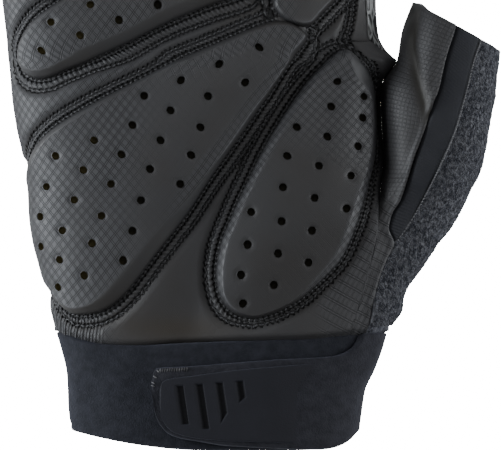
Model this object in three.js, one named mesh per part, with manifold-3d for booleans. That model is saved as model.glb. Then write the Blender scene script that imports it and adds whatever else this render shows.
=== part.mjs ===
import * as THREE from 'three';
import { mergeVertices } from 'three/addons/utils/BufferGeometryUtils.js';
import Module from 'manifold-3d';

// A short-finger training glove for the right hand. It lies on its back with the palm up and keeps
// the round form that a hand gives it. +X is the thumb side, +Y runs from the wrist to the fingers
// and +Z is up. All sizes are in millimetres.

// Walls and clearances
const leatherWall = 1.4;
const fabricWall = 1.3;
const terryWall = 2.2;
const neopreneWall = 3;
const strapWall = 2;
const patchWall = 0.9;
const pieceGap = 0.3;          // between two edges
const layerGap = 0.5;          // between two layers, whose facets differ
const foldGap = 0.7;           // in the fold behind the thumb
const press = 1.6;             // how far the back would bulge below the floor if it were not pressed flat
const bluntness = 2.6;         // 2 is an ellipse, more is squarer

// Pads
const padRim = 0.8;
const padHeight = 2.6;
const padSides = 30;
const holeWidth = 2.1;
const holeSides = 5;

// Heights and places that the sections share
const wristY = 30.7;
const webY = 101.4;
const crotchY = 131;
const frontSeam = 15;          // height of the palm side's edge between two fingers
const backSeam = 5;            // height of the back's edge between two fingers
const littleSeamShare = { hand: 0.012, finger: 0.006 };   // how far the palm leather comes round the side
const forefingerSeamShare = 0.989;   // where it stops on the forefinger's side, as a share of the width
const fourchetteHeights = { low: 6.3, high: 13.6 };
const fourchetteWall = 1;

// The hand from the wrist seam to the finger crotches: outline on the little finger's side, height
// of its widest line, and height of the palm.
const handSections = [
  { y: 30.7, left: -50.1, side: 13.5, top: 26.8 },
  { y: 36, left: -51.0, side: 13.5, top: 27.6 },
  { y: 44, left: -51.6, side: 13.5, top: 28.4 },
  { y: 54, left: -53.8, side: 13.5, top: 28.8 },
  { y: 64, left: -55.6, side: 13.5, top: 28.8 },
  { y: 78, left: -58.0, side: 13.5, top: 28.6 },
  { y: 92, left: -61.2, side: 13.0, top: 28.0 },
  { y: 104, left: -62.9, side: 12.5, top: 27.0 },
  { y: 117, left: -64.1, side: 12.0, top: 25.0 },
  { y: 131, left: -65.4, side: 11.0, top: 22.0 },
];

// The forefinger's side above the web of the thumb.
const indexSide = [
  { y: 101.4, x: 38.2, front: 12.7, back: 9.2 },
  { y: 104.3, x: 35.1, front: 12.2, back: 11 },
  { y: 108.4, x: 33.3, front: 12, back: 12 },
  { y: 117, x: 32.8, front: 12, back: 12 },
  { y: 131, x: 33.9, front: 11, back: 11 },
];

// The thumb, a row for each section from the wrist to its opening. y and left are its inner end: the
// fold beside the palm up to the web, and its own outline above. rightX and rightY are its outer end.
// strip and terry are the seams of the stretch strip and of the terry back as shares of the section.
const thumbSections = [
  { y: 30.7, left: 26.5, rightX: 35.9, rightY: 30.7, strip: 0.39,
    terry: 0.39, side: 13.5, top: 26.8, front: 13.5, back: 0 },
  { y: 39.0, left: 28.9, rightX: 39.3, rightY: 39.0, strip: 0.30,
    terry: 0.30, side: 13.5, top: 27.6, front: 13.5, back: 0 },
  { y: 49.4, left: 31.5, rightX: 45.6, rightY: 49.4, strip: 0.28,
    terry: 0.28, side: 13.2, top: 27.8, front: 14, back: 0 },
  { y: 53.8, left: 32.5, rightX: 48.4, rightY: 53.8, strip: 0.32,
    terry: 0.32, side: 13.0, top: 27.8, front: 15, back: 0 },
  { y: 58.5, left: 33.3, rightX: 52.0, rightY: 58.5, strip: 0.146,
    terry: 0.417, side: 12.8, top: 27.8, front: 16, back: 0 },
  { y: 67.6, left: 33.8, rightX: 57.2, rightY: 67.6, strip: 0.26,
    terry: 0.528, side: 12.4, top: 27.8, front: 16, back: 2 },
  { y: 74.0, left: 34.8, rightX: 59.8, rightY: 72.2, strip: 0.28,
    terry: 0.56, side: 12.2, top: 27.6, front: 15.5, back: 4 },
  { y: 85.8, left: 34.1, rightX: 61.6, rightY: 80.1, strip: 0.411,
    terry: 0.675, side: 12.0, top: 27.2, front: 14, back: 8 },
  { y: 91.0, left: 33.8, rightX: 62.0, rightY: 83.7, strip: 0.449,
    terry: 0.722, side: 11.8, top: 26.8, front: 13.4, back: 8.6 },
  { y: 94.9, left: 34.3, rightX: 62.4, rightY: 87.1, strip: 0.49,
    terry: 0.736, side: 11.6, top: 26.4, front: 13, back: 9 },
  { y: 101.4, left: 38.2, rightX: 63.4, rightY: 92.3, strip: 0.455,
    terry: 0.73, side: 11.4, top: 25.6, front: 12.7, back: 9.2 },
  { y: 108.5, left: 38.9, rightX: 64.2, rightY: 99.2, strip: 0.495,
    terry: 0.765, side: 11.2, top: 24.6, front: 11, back: 11 },
  { y: 116.5, left: 41.6, rightX: 64.7, rightY: 104.0, strip: 0.506,
    terry: 0.787, side: 11, top: 23.4, front: 11, back: 11 },
];

// Fingers from the little finger to the forefinger: where each starts as a share of the hand's width,
// and the two ends of its opening.
const fingers = [
  { name: 'little', from: 0, to: 0.23, leftX: -69.2, leftY: 149.5, rightX: -47.6, rightY: 153 },
  { name: 'ring', from: 0.23, to: 0.49, leftX: -45.4, leftY: 158.5, rightX: -21.6, rightY: 160.5 },
  { name: 'middle', from: 0.49, to: 0.755, leftX: -19.2, leftY: 162.5, rightX: 5.4, rightY: 162.5 },
  { name: 'index', from: 0.755, to: 1, leftX: 8.2, leftY: 159.5, rightX: 33.6, rightY: 156.5 },
];
const fingerTipTop = 20.4;
const tipY = 161;             // row of the finger openings

// How much higher or lower than crotchY each crotch lies.
const crotchRise = [
  { share: 0, rise: -2 },
  { share: 0.23, rise: -0.5 },
  { share: 0.49, rise: 3.5 },
  { share: 0.755, rise: 3 },
  { share: 1, rise: 0 },
];

// The seam between the hand and the cuff, seen from above.
const wristSeam = [
  { x: -50.1, y: 31.5 },
  { x: -44.2, y: 29.3 },
  { x: -38, y: 28.0 },
  { x: -30, y: 27.6 },
  { x: -19.5, y: 28.1 },
  { x: 0, y: 28.9 },
  { x: 16, y: 29.5 },
  { x: 29, y: 30.9 },
  { x: 36, y: 31.5 },
];

// The cuff under its strap.
const cuffSections = [
  { y: 0, left: -45.2, right: 25.6 },
  { y: 5.7, left: -46.2, right: 26.0 },
  { y: 9.1, left: -46.8, right: 26.5 },
  { y: 15.6, left: -47.2, right: 27.6 },
  { y: 20.8, left: -47.6, right: 30.1 },
  { y: 26, left: -48.6, right: 32.0 },
  { y: 31.5, left: -50.1, right: 33.4 },
];
const cuffSide = 13.5;
const cuffTop = 26;
const cuffLift = 4.8;          // how much higher the wrist edge lies at the cuff's sides

// The strap's edges along the cuff: its lower edge above the cuff's, and its upper edge.
const strapEdges = [
  { share: 0.270, rise: 16.3, high: 18.9 },
  { share: 0.276, rise: 13.0, high: 20.6 },
  { share: 0.288, rise: 9.7, high: 21.4 },
  { share: 0.303, rise: 6.9, high: 21.6 },
  { share: 0.322, rise: 4.5, high: 21.7 },
  { share: 0.376, rise: 2.6, high: 21.8 },
  { share: 0.530, rise: 1.6, high: 22.6 },
  { share: 0.700, rise: 0.7, high: 23.7 },
  { share: 0.800, rise: 0.3, high: 24.0 },
  { share: 0.876, rise: 0.1, high: 24.5 },
  { share: 0.915, rise: 0, high: 25.6 },
  { share: 0.932, rise: 0, high: 27.4 },
  { share: 0.942, rise: 0, high: 30.2 },
  { share: 1, rise: 0, high: 30.6 },
];
const strapEndAngle = 3.5;    // past the thumb side, where the strap is sewn on
const patchSpan = { from: 0.30, to: 0.86 };
const patchInset = { low: 1.8, high: 2.3 };

// Slots in the moulded patch: place of the upper left corner, width, and length on each side.
const slotLean = 0.15;         // sideways per length
const slotWidth = 2.5;
const slots = [
  { x: -19.8, top: 17.0, leftLength: 10.2, rightLength: 10.2 },
  { x: -14.7, top: 17.4, leftLength: 11.8, rightLength: 11.8 },
  { x: -9.5, top: 17.8, leftLength: 11.2, rightLength: 8.0 },
  { x: -4.2, top: 18.2, leftLength: 6.2, rightLength: 4.4 },
];

// Valleys in the palm between the pads.
const valleys = [
  { path: [[26, 111], [1.5, 83], [-12, 57], [-16, 34]], depth: 2.4, width: 9 },
  { path: [[-58, 98], [-40, 101], [-18, 108], [2, 117]], depth: 1.2, width: 6 },
];

// The thumb's leather is drawn in between its inner edge and its ball.
const thumbFold = { depth: 1.8, share: 0.27, width: 0.12, from: 76, full: 98 };

// Pads as closed outlines on the palm. A point left of the hand's outline lies round its side.
const pads = {
  hypothenar_pad: {
    outline: [
      [-57.2, 74], [-56.8, 78.5], [-54, 82.5], [-49, 86.5], [-42.5, 90.5], [-31, 96.5], [-18, 103.5],
      [-3, 111.6], [5, 113.6], [9.5, 111], [13, 108.4], [8, 100.4], [-2.4, 88.6], [-13, 71.5], [-18.5, 61],
      [-26, 49], [-33.5, 38], [-39, 34.2], [-44.5, 34], [-48.4, 36.5], [-50.6, 41], [-52, 46], [-53.4, 53],
      [-55.6, 64],
    ],
    centre: [-30, 70],
    rings: [0, 0.35, 0.66, 0.88, 1],
    holes: [
      { x: 2.2, y: 104.5, along: 4, step: [-9.9, -4.2] },
      { x: -1.5, y: 95.7, along: 6, step: [-9.7, -3.95] },
      { x: -12.8, y: 84.0, along: 5, step: [-10.0, -3.95] },
      { x: -15.4, y: 76.9, along: 5, step: [-9.7, -4.1] },
      { x: -18.1, y: 69.2, along: 4, step: [-10.0, -3.95] },
      { x: -52.2, y: 52.7, along: 1, step: [0, 0] },
      { x: -30.6, y: 57.0, along: 3, step: [-9.5, -3.8] },
      { x: -33.1, y: 49.3, along: 3, step: [-8.3, -3.45] },
    ],
  },
  thenar_pad: {
    outline: [
      [-2.6, 33.9], [-8.5, 38], [-11, 46], [-9.2, 56], [-4, 65.4], [4, 75.8], [13, 86.2], [22.5, 97],
      [26.5, 99.6], [29.6, 96.5], [31.2, 90.5], [31.2, 84.5], [30.4, 77.5], [28.6, 69.5], [25.6, 60.5],
      [20.5, 50.5], [13, 41.8], [5.2, 36],
    ],
    centre: [10, 66],
    rings: [0, 0.45, 0.8, 1],
    holes: [
      { x: 22.7, y: 95.7, along: 2, step: [7.0, -3.85] },
      { x: 21.1, y: 89.2, along: 2, step: [8.2, -2.9] },
      { x: 12.1, y: 83.9, along: 3, step: [8.0, -2.5] },
      { x: 9.6, y: 76.4, along: 3, step: [8.35, -2.55] },
      { x: 8.5, y: 68.3, along: 3, step: [8.3, -2.75] },
      { x: 0.2, y: 61.9, along: 3, step: [7.95, -2.4] },
      { x: -0.7, y: 53.5, along: 3, step: [7.95, -2.35] },
      { x: -2.4, y: 45.6, along: 2, step: [8.6, -2.6] },
      { x: -1.9, y: 38.2, along: 1, step: [0, 0] },
    ],
  },
  knuckle_pad: {
    outline: [
      [-52.5, 116.5], [-44.2, 120.2], [-33.8, 122.6], [-20.8, 123.9], [-9, 123.9], [-1.5, 122.8], [0.5, 120],
      [-2.5, 117.2], [-9, 114.8], [-20.8, 109.2], [-39, 101], [-49.4, 96.4], [-55.9, 95.6], [-59.5, 99],
      [-60.3, 104], [-58.5, 110.5],
    ],
    centre: [-34, 111],
    rings: [0, 0.5, 0.84, 1],
    holes: [
      { x: -54.2, y: 103.7, along: 5, step: [10.1, 3.95] },
      { x: -51.7, y: 111.1, along: 3, step: [10.3, 4.5] },
    ],
  },
  forefinger_pad: {
    outline: [
      [13.6, 109.6], [10.6, 111.4], [8.3, 114.2], [7.6, 117.2], [9.4, 120.6], [14, 123.6], [21, 124.2],
      [24.8, 122.4], [24.4, 119.6], [21, 116.6], [17.6, 113],
    ],
    centre: [15.5, 117.4],
    rings: [0, 0.6, 1],
    holes: [],
  },
};

// Rows and columns of the surfaces
const lowerRows = [wristY, 35, 41, 47, 53.8, 58.5, 63, 67.6, 72, 77, 82, 87, 91, 94.9, 98.4, webY];
const handRows = [...lowerRows, 104.3, 107.5, 113, 118.5, 122, 125, 128, crotchY, 141, tipY];
const thumbRows = [...lowerRows, 105, 110.5, 116.5];
const palmColumns = 5;
const backRows = [wristY, 41, 53.8, 63, 72, 82, 91, 98.4, webY, 104.3, 107.5, 115, 122, 127, crotchY, tipY];
const backColumns = 4;
const stripStart = 54.4;

const mix = THREE.MathUtils.lerp;
const smooth = (from, to, value) => THREE.MathUtils.smoothstep(value, from, to);

// Value of one column of a table at a place between its rows, on a smooth curve with no overshoot.
function column(table, key, name, place) {
  const rise = i => (table[i + 1][name] - table[i][name]) / (table[i + 1][key] - table[i][key]);
  const slope = i => {
    if (i === 0) return rise(0);
    if (i === table.length - 1) return rise(i - 1);
    const product = rise(i - 1) * rise(i);
    return product <= 0 ? 0 : 2 * product / (rise(i - 1) + rise(i));
  };
  const next = table.findIndex(row => row[key] > place);
  const i = next < 0 ? table.length - 2 : Math.max(next - 1, 0);
  const [a, b] = [table[i], table[i + 1]];
  const span = b[key] - a[key];
  const t = THREE.MathUtils.clamp((place - a[key]) / span, 0, 1);
  const bend = (b[name] - a[name]) * t * t * (3 - 2 * t);
  return a[name] + bend + span * t * (1 - t) * (slope(i) * (1 - t) - slope(i + 1) * t);
}

// One side of a section: it leaves its two ends steeply and reaches the given height between them.
function arch(across, leftLevel, rightLevel, reach) {
  const level = mix(leftLevel, rightLevel, across);
  const swell = Math.sqrt(1 - Math.abs(2 * across - 1) ** bluntness);
  return level + (reach - level) * swell;
}

const handLeft = y => column(handSections, 'y', 'left', y);
const handRight = y => (y <= webY ? column(thumbSections, 'y', 'left', y) : column(indexSide, 'y', 'x', y));
const thumbValue = (name, y) => column(thumbSections, 'y', name, y);
const foldDepth = y => (y > webY ? 1 : smooth(56, 76, y));
const fingerDepth = y => smooth(119, crotchY, y);
const forefinger = fingers[fingers.length - 1];

// Share of the whole section, from the little finger's side to the thumb's outer end, that is hand.
function handShare(y) {
  if (y > webY) return 1;
  const hand = handRight(y) - handLeft(y);
  const thumb = Math.hypot(thumbValue('rightX', y) - handRight(y), thumbValue('rightY', y) - y);
  return hand / (hand + thumb);
}

function distanceToPath(path, x, y) {
  let nearest = Infinity;
  for (let i = 0; i + 1 < path.length; i++) {
    const [ax, ay] = path[i];
    const [dx, dy] = [path[i + 1][0] - ax, path[i + 1][1] - ay];
    const t = THREE.MathUtils.clamp(((x - ax) * dx + (y - ay) * dy) / (dx * dx + dy * dy), 0, 1);
    nearest = Math.min(nearest, Math.hypot(x - ax - t * dx, y - ay - t * dy));
  }
  return nearest;
}

// Height of the section where hand and thumb are one, below the thumb's fold.
function wholeHeight(share, y, palmSide) {
  const top = mix(column(handSections, 'y', 'top', y), thumbValue('top', y), smooth(0.6, 1, share));
  return arch(share, column(handSections, 'y', 'side', y), thumbValue('side', y), palmSide ? top : -press);
}

// Height on one finger, whose edges lie at the seams, or at the widest line on the hand's two sides.
function fingerHeight(finger, local, top, palmSide) {
  const seam = palmSide ? frontSeam : backSeam;
  const side = column(handSections, 'y', 'side', crotchY);
  const leftLevel = finger === fingers[0] ? side : seam;
  return arch(local, leftLevel, finger === forefinger ? side : seam, palmSide ? top : -press);
}

function handHeight(share, x, y, palmSide) {
  const top = column(handSections, 'y', 'top', y);
  const edge = column(y > webY ? indexSide : thumbSections, 'y', palmSide ? 'front' : 'back', y);
  const own = arch(share, column(handSections, 'y', 'side', y), edge, palmSide ? top : -press);
  const hand = y > webY ? own : mix(wholeHeight(share * handShare(y), y, palmSide), own, foldDepth(y));
  const finger = fingers.find(one => share <= one.to) ?? forefinger;
  const local = (share - finger.from) / (finger.to - finger.from);
  const height = mix(hand, fingerHeight(finger, local, top, palmSide), fingerDepth(y));
  if (!palmSide) return Math.max(0, height);
  const sink = valleys.map(one => {
    const off = distanceToPath(one.path, x, y) / one.width;
    return one.depth * Math.exp(-off * off);
  });
  return height - arch(share, 0, 0, 1) * (1 - fingerDepth(y)) * sink.reduce((a, b) => a + b);
}

// The rows of the hand bend to the wrist seam at one end and to the crotches at the other.
function rowShift(share, x, y) {
  const wrist = (column(wristSeam, 'x', 'y', x) - wristY) * (1 - smooth(wristY, 62, y));
  return wrist + column(crotchRise, 'share', 'rise', share) * smooth(106, crotchY, y);
}

// A point on the outside of the hand: its share of the width from the little finger's side, its row,
// and whether it is on the palm side or on the back.
function handPoint(share, y, palmSide) {
  const x = mix(handLeft(y), handRight(y), share);
  return new THREE.Vector3(x, y + rowShift(share, x, y), handHeight(share, x, y, palmSide));
}

function thumbPoint(share, y, palmSide) {
  const x = mix(thumbValue('left', y), thumbValue('rightX', y), share);
  const reach = palmSide ? thumbValue('top', y) : -press;
  const own = arch(share, thumbValue(palmSide ? 'front' : 'back', y), thumbValue('side', y), reach);
  const hand = handShare(y);
  const whole = y > webY ? 0 : wholeHeight(mix(hand, 1, share), y, palmSide);
  const offFold = (share - thumbFold.share) / thumbFold.width;
  const fold = palmSide ? thumbFold.depth * Math.exp(-offFold * offFold) * Math.sqrt(share) : 0;
  const z = mix(whole, own, foldDepth(y)) - fold * smooth(thumbFold.from, thumbFold.full, y);
  const shift = y > webY ? 0 : rowShift(0, x, Math.min(y, webY));
  return new THREE.Vector3(x, mix(y, thumbValue('rightY', y), share) + shift, Math.max(0, z));
}

// A point on a finger and the hand below it. Rows go on past the crotches to the finger's opening.
function fingerPoint(finger, share, row, palmSide) {
  if (row <= crotchY) return handPoint(share, row, palmSide);
  const along = (row - crotchY) / (tipY - crotchY);
  const local = (share - finger.from) / (finger.to - finger.from);
  const root = handPoint(share, crotchY, palmSide);
  const top = mix(column(handSections, 'y', 'top', crotchY), fingerTipTop, along);
  return new THREE.Vector3(
    mix(root.x, mix(finger.leftX, finger.rightX, local), along),
    mix(root.y, mix(finger.leftY, finger.rightY, local), along),
    Math.max(0, fingerHeight(finger, local, top, palmSide)),
  );
}

// The same surfaces by the angle round them: 0 at the left, over the palm side to pi, and round the back.
const shareOf = angle => (1 - Math.cos(angle)) / 2;
const angleOf = share => Math.acos(1 - 2 * share);
const around = pointAt => (angle, row) => pointAt(shareOf(angle), row, Math.sin(angle) > -1e-9);

// Place past a seam, in the given direction, that leaves the gap between two pieces.
function beside(pointAt, seam, direction, gap = pieceGap) {
  const start = pointAt(seam);
  let [near, far] = [0, 0.25];
  for (let i = 0; i < 40; i++) {
    const middle = (near + far) / 2;
    if (pointAt(seam + direction * middle).distanceTo(start) < gap) near = middle;
    else far = middle;
  }
  return seam + direction * far;
}

function geometryOf(points, faces) {
  const geometry = new THREE.BufferGeometry();
  geometry.setAttribute('position', new THREE.Float32BufferAttribute(points.flatMap(p => p.toArray()), 3));
  geometry.setIndex(faces.flat());
  return geometry;
}

// A thin surface put together from patches. Patches that share an edge are joined there.
class Sheet {
  points = [];
  slopes = [];               // true normals, which differ from the faces' own at an open edge
  known = new Map();
  triangles = [];

  vertex(at, slope) {
    const key = at.toArray().map(value => Math.round(value * 1e4)).join();
    if (!this.known.has(key)) {
      this.known.set(key, this.points.push(at) - 1);
      this.slopes.push([]);
    }
    this.slopes[this.known.get(key)].push(slope);
    return this.known.get(key);
  }

  // Columns run across the piece and rows along it, as pointAt(column, row) gives them.
  patch(pointAt, columns, rows) {
    const ahead = (list, i) => mix(list[i], list[i + 1 < list.length ? i + 1 : i - 1], 1e-3);
    const sign = (list, i) => (i + 1 < list.length ? 1 : -1);
    const grid = rows.map((row, r) => columns.map((place, c) => {
      const at = pointAt(place, row);
      const across = pointAt(ahead(columns, c), row).sub(at).multiplyScalar(sign(columns, c));
      const along = pointAt(place, ahead(rows, r)).sub(at).multiplyScalar(sign(rows, r));
      return this.vertex(at, across.cross(along).normalize());
    }));
    for (let r = 0; r + 1 < rows.length; r++) {
      for (let c = 0; c + 1 < columns.length; c++) {
        const [a, b, d, e] = [grid[r][c], grid[r][c + 1], grid[r + 1][c + 1], grid[r + 1][c]];
        for (const corners of [[a, b, d], [a, d, e]]) {
          if (new Set(corners).size === 3) this.triangles.push(corners);
        }
      }
    }
  }

  // Directions out of the surface: the faces' own, or at an open edge the true ones where they agree.
  directions(openEnds) {
    const sums = this.points.map(() => new THREE.Vector3());
    for (const corners of this.triangles) {
      const [p, q, r] = corners.map(i => this.points[i]);
      const normal = q.clone().sub(p).cross(r.clone().sub(p));
      corners.forEach(i => sums[i].add(normal));
    }
    return sums.map((sum, i) => {
      const slope = this.slopes[i].reduce((total, one) => total.add(one), new THREE.Vector3());
      const agreed = openEnds.has(i) && slope.length() > 0.8 * this.slopes[i].length;
      return (agreed ? slope : sum).normalize();
    });
  }

  // Closed wall with this surface as its outside, or grown outward from it by some amount.
  wall(thickness, grown = 0) {
    const sides = this.triangles.flatMap(([a, b, c]) => [[a, b], [b, c], [c, a]]);
    const known = new Set(sides.map(String));
    const open = sides.filter(([from, to]) => !known.has(String([to, from])));
    const out = this.directions(new Set(open.flat()));
    const layer = lift => this.points.map((point, i) => point.clone().addScaledVector(out[i], lift));
    const count = this.points.length;
    const inside = this.triangles.map(([a, b, c]) => [a + count, c + count, b + count]);
    const rims = open.flatMap(([from, to]) => [[to, from, from + count], [to, from + count, to + count]]);
    return geometryOf([...layer(grown), ...layer(-thickness)], [...this.triangles, ...inside, ...rims]);
  }
}

const even = (from, to, count) => Array.from({ length: count + 1 }, (_, i) => mix(from, to, i / count));

// Palm leather and back fabric meet beside the little finger and beside the forefinger. The palm
// leather ends on its seams, and its neighbours start past them.
const littleSeam = y => mix(littleSeamShare.hand, littleSeamShare.finger, smooth(100, crotchY, y));
const forefingerSeam = y => mix(1, forefingerSeamShare, smooth(webY, 107.5, y));

// One finger and the hand below it on one side, from its left edge at 0 to its right edge at 1.
function fingerPanel(finger, palmSide) {
  return (place, row) => {
    const y = Math.min(row, crotchY);
    const onHand = share => handPoint(share, y, palmSide);
    let [from, to] = [finger.from, finger.to];
    if (finger === fingers[0] && !palmSide) from = beside(onHand, littleSeam(y), 1);
    if (finger === forefinger && palmSide) to = forefingerSeam(y);
    if (finger === forefinger && !palmSide && y <= webY) to = beside(onHand, 1, -1, foldGap);
    return fingerPoint(finger, mix(from, to, shareOf(Math.PI * place)), row, palmSide);
  };
}

// Palm and finger fronts in one piece with the inner face of the thumb.
function palmLeather() {
  const sheet = new Sheet();
  const places = even(0, 1, palmColumns);
  for (const finger of fingers) sheet.patch(fingerPanel(finger, true), places, handRows);
  const roundSide = (place, row) => {
    const share = littleSeam(Math.min(row, crotchY)) * place * place;
    return fingerPoint(fingers[0], share, row, place === 0);
  };
  sheet.patch(roundSide, [-1, -0.5, 0], handRows);
  const thumbFace = around(thumbPoint);
  const innerFace = (place, y) => thumbFace(place * angleOf(thumbValue('strip', y)), y);
  sheet.patch(innerFace, [0, 0.18, 0.42, 0.7, 1], thumbRows);
  return sheet;
}

// Back of the hand and fingers, which comes round the forefinger to the palm leather.
function backFabric() {
  const sheet = new Sheet();
  const places = even(1, 0, backColumns);
  for (const finger of fingers) sheet.patch(fingerPanel(finger, false), places, backRows);
  const roundSide = (place, row) => {
    const y = Math.min(row, crotchY);
    if (y <= webY) return handPoint(beside(share => handPoint(share, y, false), 1, -1, foldGap), y, false);
    const seam = beside(share => handPoint(share, y, true), forefingerSeam(y), 1);
    return fingerPoint(forefinger, mix(seam, 1, Math.sin(place * Math.PI / 2)), row, place < 1);
  };
  sheet.patch(roundSide, [0, 0.5, 1], backRows.filter(row => row >= webY));
  return sheet;
}

function thumbStrip() {
  const sheet = new Sheet();
  sheet.patch((place, y) => {
    const pointAt = angle => around(thumbPoint)(angle, y);
    const from = beside(pointAt, angleOf(thumbValue('strip', y)), 1);
    return pointAt(mix(from, angleOf(thumbValue('terry', y)), place));
  }, even(0, 1, 3), [stripStart, ...thumbRows.filter(y => y > stripStart)]);
  return sheet.wall(leatherWall);
}

// Terry from the thumb's front seam round its outer side to the back of the hand.
function thumbTerry() {
  const sheet = new Sheet();
  sheet.patch((place, y) => {
    const pointAt = angle => around(thumbPoint)(angle, y);
    const from = beside(pointAt, angleOf(thumbValue('terry', y)), 1);
    return pointAt(mix(from, beside(pointAt, 2 * Math.PI, -1), place));
  }, even(0, 1, 11), thumbRows);
  return sheet;
}

// Strip that lines the two facing sides of neighbouring fingers, bent to a V round their crotch.
function fourchette(leftFinger, rightFinger) {
  const crotch = handPoint(leftFinger.to, crotchY, true);
  const shape = new THREE.Shape([
    new THREE.Vector2(leftFinger.rightX, leftFinger.rightY),
    new THREE.Vector2(crotch.x, crotch.y),
    new THREE.Vector2(rightFinger.leftX, rightFinger.leftY),
    new THREE.Vector2(rightFinger.leftX + fourchetteWall, rightFinger.leftY),
    new THREE.Vector2(crotch.x + fourchetteWall, crotch.y),
    new THREE.Vector2(crotch.x, crotch.y - fourchetteWall),
    new THREE.Vector2(crotch.x - fourchetteWall, crotch.y),
    new THREE.Vector2(leftFinger.rightX - fourchetteWall, leftFinger.rightY),
  ]);
  const depth = fourchetteHeights.high - fourchetteHeights.low;
  return new THREE.ExtrudeGeometry(shape, { depth, bevelEnabled: false }).translate(0, 0, fourchetteHeights.low);
}

// The cuff's section at a height y, made larger all round by some amount. The wrist edge is arched.
const cuffRise = share => cuffLift * (share < 0.5 ? (1 - 2 * share) ** 2 : (2 * share - 1) ** 12);
function cuffPoint(share, y, palmSide, grown) {
  const left = column(cuffSections, 'y', 'left', y) - grown;
  const right = column(cuffSections, 'y', 'right', y) + grown;
  const z = arch(share, cuffSide, cuffSide, palmSide ? cuffTop + grown : -press - grown);
  return new THREE.Vector3(mix(left, right, share), y, Math.max(0, z));
}

function cuff() {
  const sheet = new Sheet();
  const turn = 2 * Math.PI;
  sheet.patch((place, along) => {
    const share = shareOf(place * turn);
    const x = mix(column(cuffSections, 'y', 'left', 28), column(cuffSections, 'y', 'right', 28), share);
    const y = mix(cuffRise(share), column(wristSeam, 'x', 'y', x) - pieceGap, along);
    return cuffPoint(share, y, Math.sin(place * turn) > -1e-9, 0);
  }, even(0, 1, 30), [0, 0.2, 0.45, 0.7, 1]);
  return sheet.wall(neopreneWall);
}

// Point on the strap's outside: angle round the cuff, and 0 at its lower edge to 1 at its upper edge.
function strapPoint(angle, along, inset = { low: 0, high: 0 }, grown = layerGap + strapWall) {
  const share = shareOf(angle);
  const edge = name => column(strapEdges, 'share', name, angle > Math.PI ? 1 : share);
  const low = cuffRise(share) + edge('rise') + inset.low;
  const x = cuffPoint(share, wristY, true, grown).x;
  const high = Math.min(edge('high'), column(wristSeam, 'x', 'y', x) - pieceGap) - inset.high;
  return cuffPoint(share, mix(low, high, along), Math.sin(angle) > -1e-9, grown);
}

function closureStrap() {
  const sheet = new Sheet();
  const edges = strapEdges.map(edge => angleOf(edge.share));
  const angles = [...edges.slice(0, -1), ...even(2.75, strapEndAngle, 6)];
  sheet.patch(strapPoint, angles, [0, 0.3, 0.65, 1]);
  return sheet.wall(strapWall);
}

const wasm = await Module();
wasm.setup();

function toSolid(geometry) {
  const bare = geometry.clone();
  bare.deleteAttribute('normal');
  bare.deleteAttribute('uv');
  const merged = mergeVertices(bare);
  const vertProperties = Float32Array.from(merged.attributes.position.array);
  const triVerts = Uint32Array.from(merged.index.array);
  return new wasm.Manifold(new wasm.Mesh({ numProp: 3, vertProperties, triVerts }));
}

function fromSolid(solid) {
  const mesh = solid.getMesh();
  const geometry = new THREE.BufferGeometry();
  geometry.setAttribute('position', new THREE.BufferAttribute(mesh.vertProperties, 3));
  geometry.setIndex(new THREE.BufferAttribute(mesh.triVerts, 1));
  return geometry;
}

// What is left of a solid after all cuts, without the loose slivers that a cut may leave.
function cutFrom(geometry, tools) {
  const cut = tools.reduce((solid, tool) => solid.subtract(toSolid(tool)), toSolid(geometry));
  const largest = cut.decompose().reduce((a, b) => (b.volume() > a.volume() ? b : a));
  return fromSolid(largest);
}

// Moulded patch on the strap's tab, with slots cut through it for grip.
function gripPatch() {
  const sheet = new Sheet();
  const angles = even(angleOf(patchSpan.from), angleOf(patchSpan.to), 8);
  const grown = strapWall + 2 * layerGap + patchWall;
  sheet.patch((angle, along) => strapPoint(angle, along, patchInset, grown), angles, [0, 0.35, 0.7, 1]);
  const tools = slots.map(slot => {
    const foot = length => slot.top - length;
    const shape = new THREE.Shape([
      new THREE.Vector2(slot.x, slot.top),
      new THREE.Vector2(slot.x + slotLean * slot.leftLength, foot(slot.leftLength)),
      new THREE.Vector2(slot.x + slotWidth + slotLean * slot.rightLength, foot(slot.rightLength)),
      new THREE.Vector2(slot.x + slotWidth, slot.top),
    ]);
    return new THREE.ExtrudeGeometry(shape, { depth: 20, bevelEnabled: false }).translate(0, 0, cuffSide + 4);
  });
  return cutFrom(sheet.wall(patchWall), tools);
}

// Angle and row on the hand of a place seen from above.
function handPlace(x, y) {
  let row = y;
  let share = 0;
  for (let i = 0; i < 8; i++) {
    share = (x - handLeft(row)) / (handRight(row) - handLeft(row));
    row = y - rowShift(Math.max(share, 0), x, row);
  }
  return [share < 0 ? -angleOf(-share) / 2 : angleOf(share), row];
}

// Point above the hand, and the direction out of it there.
function aboveHand(angle, row, lift) {
  const pointAt = around(handPoint);
  const step = 0.02;
  const across = pointAt(angle + step, row).sub(pointAt(angle - step, row));
  const along = pointAt(angle, row + step).sub(pointAt(angle, row - step));
  const out = across.cross(along).normalize();
  return { point: pointAt(angle, row).addScaledVector(out, lift), out };
}

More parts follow.
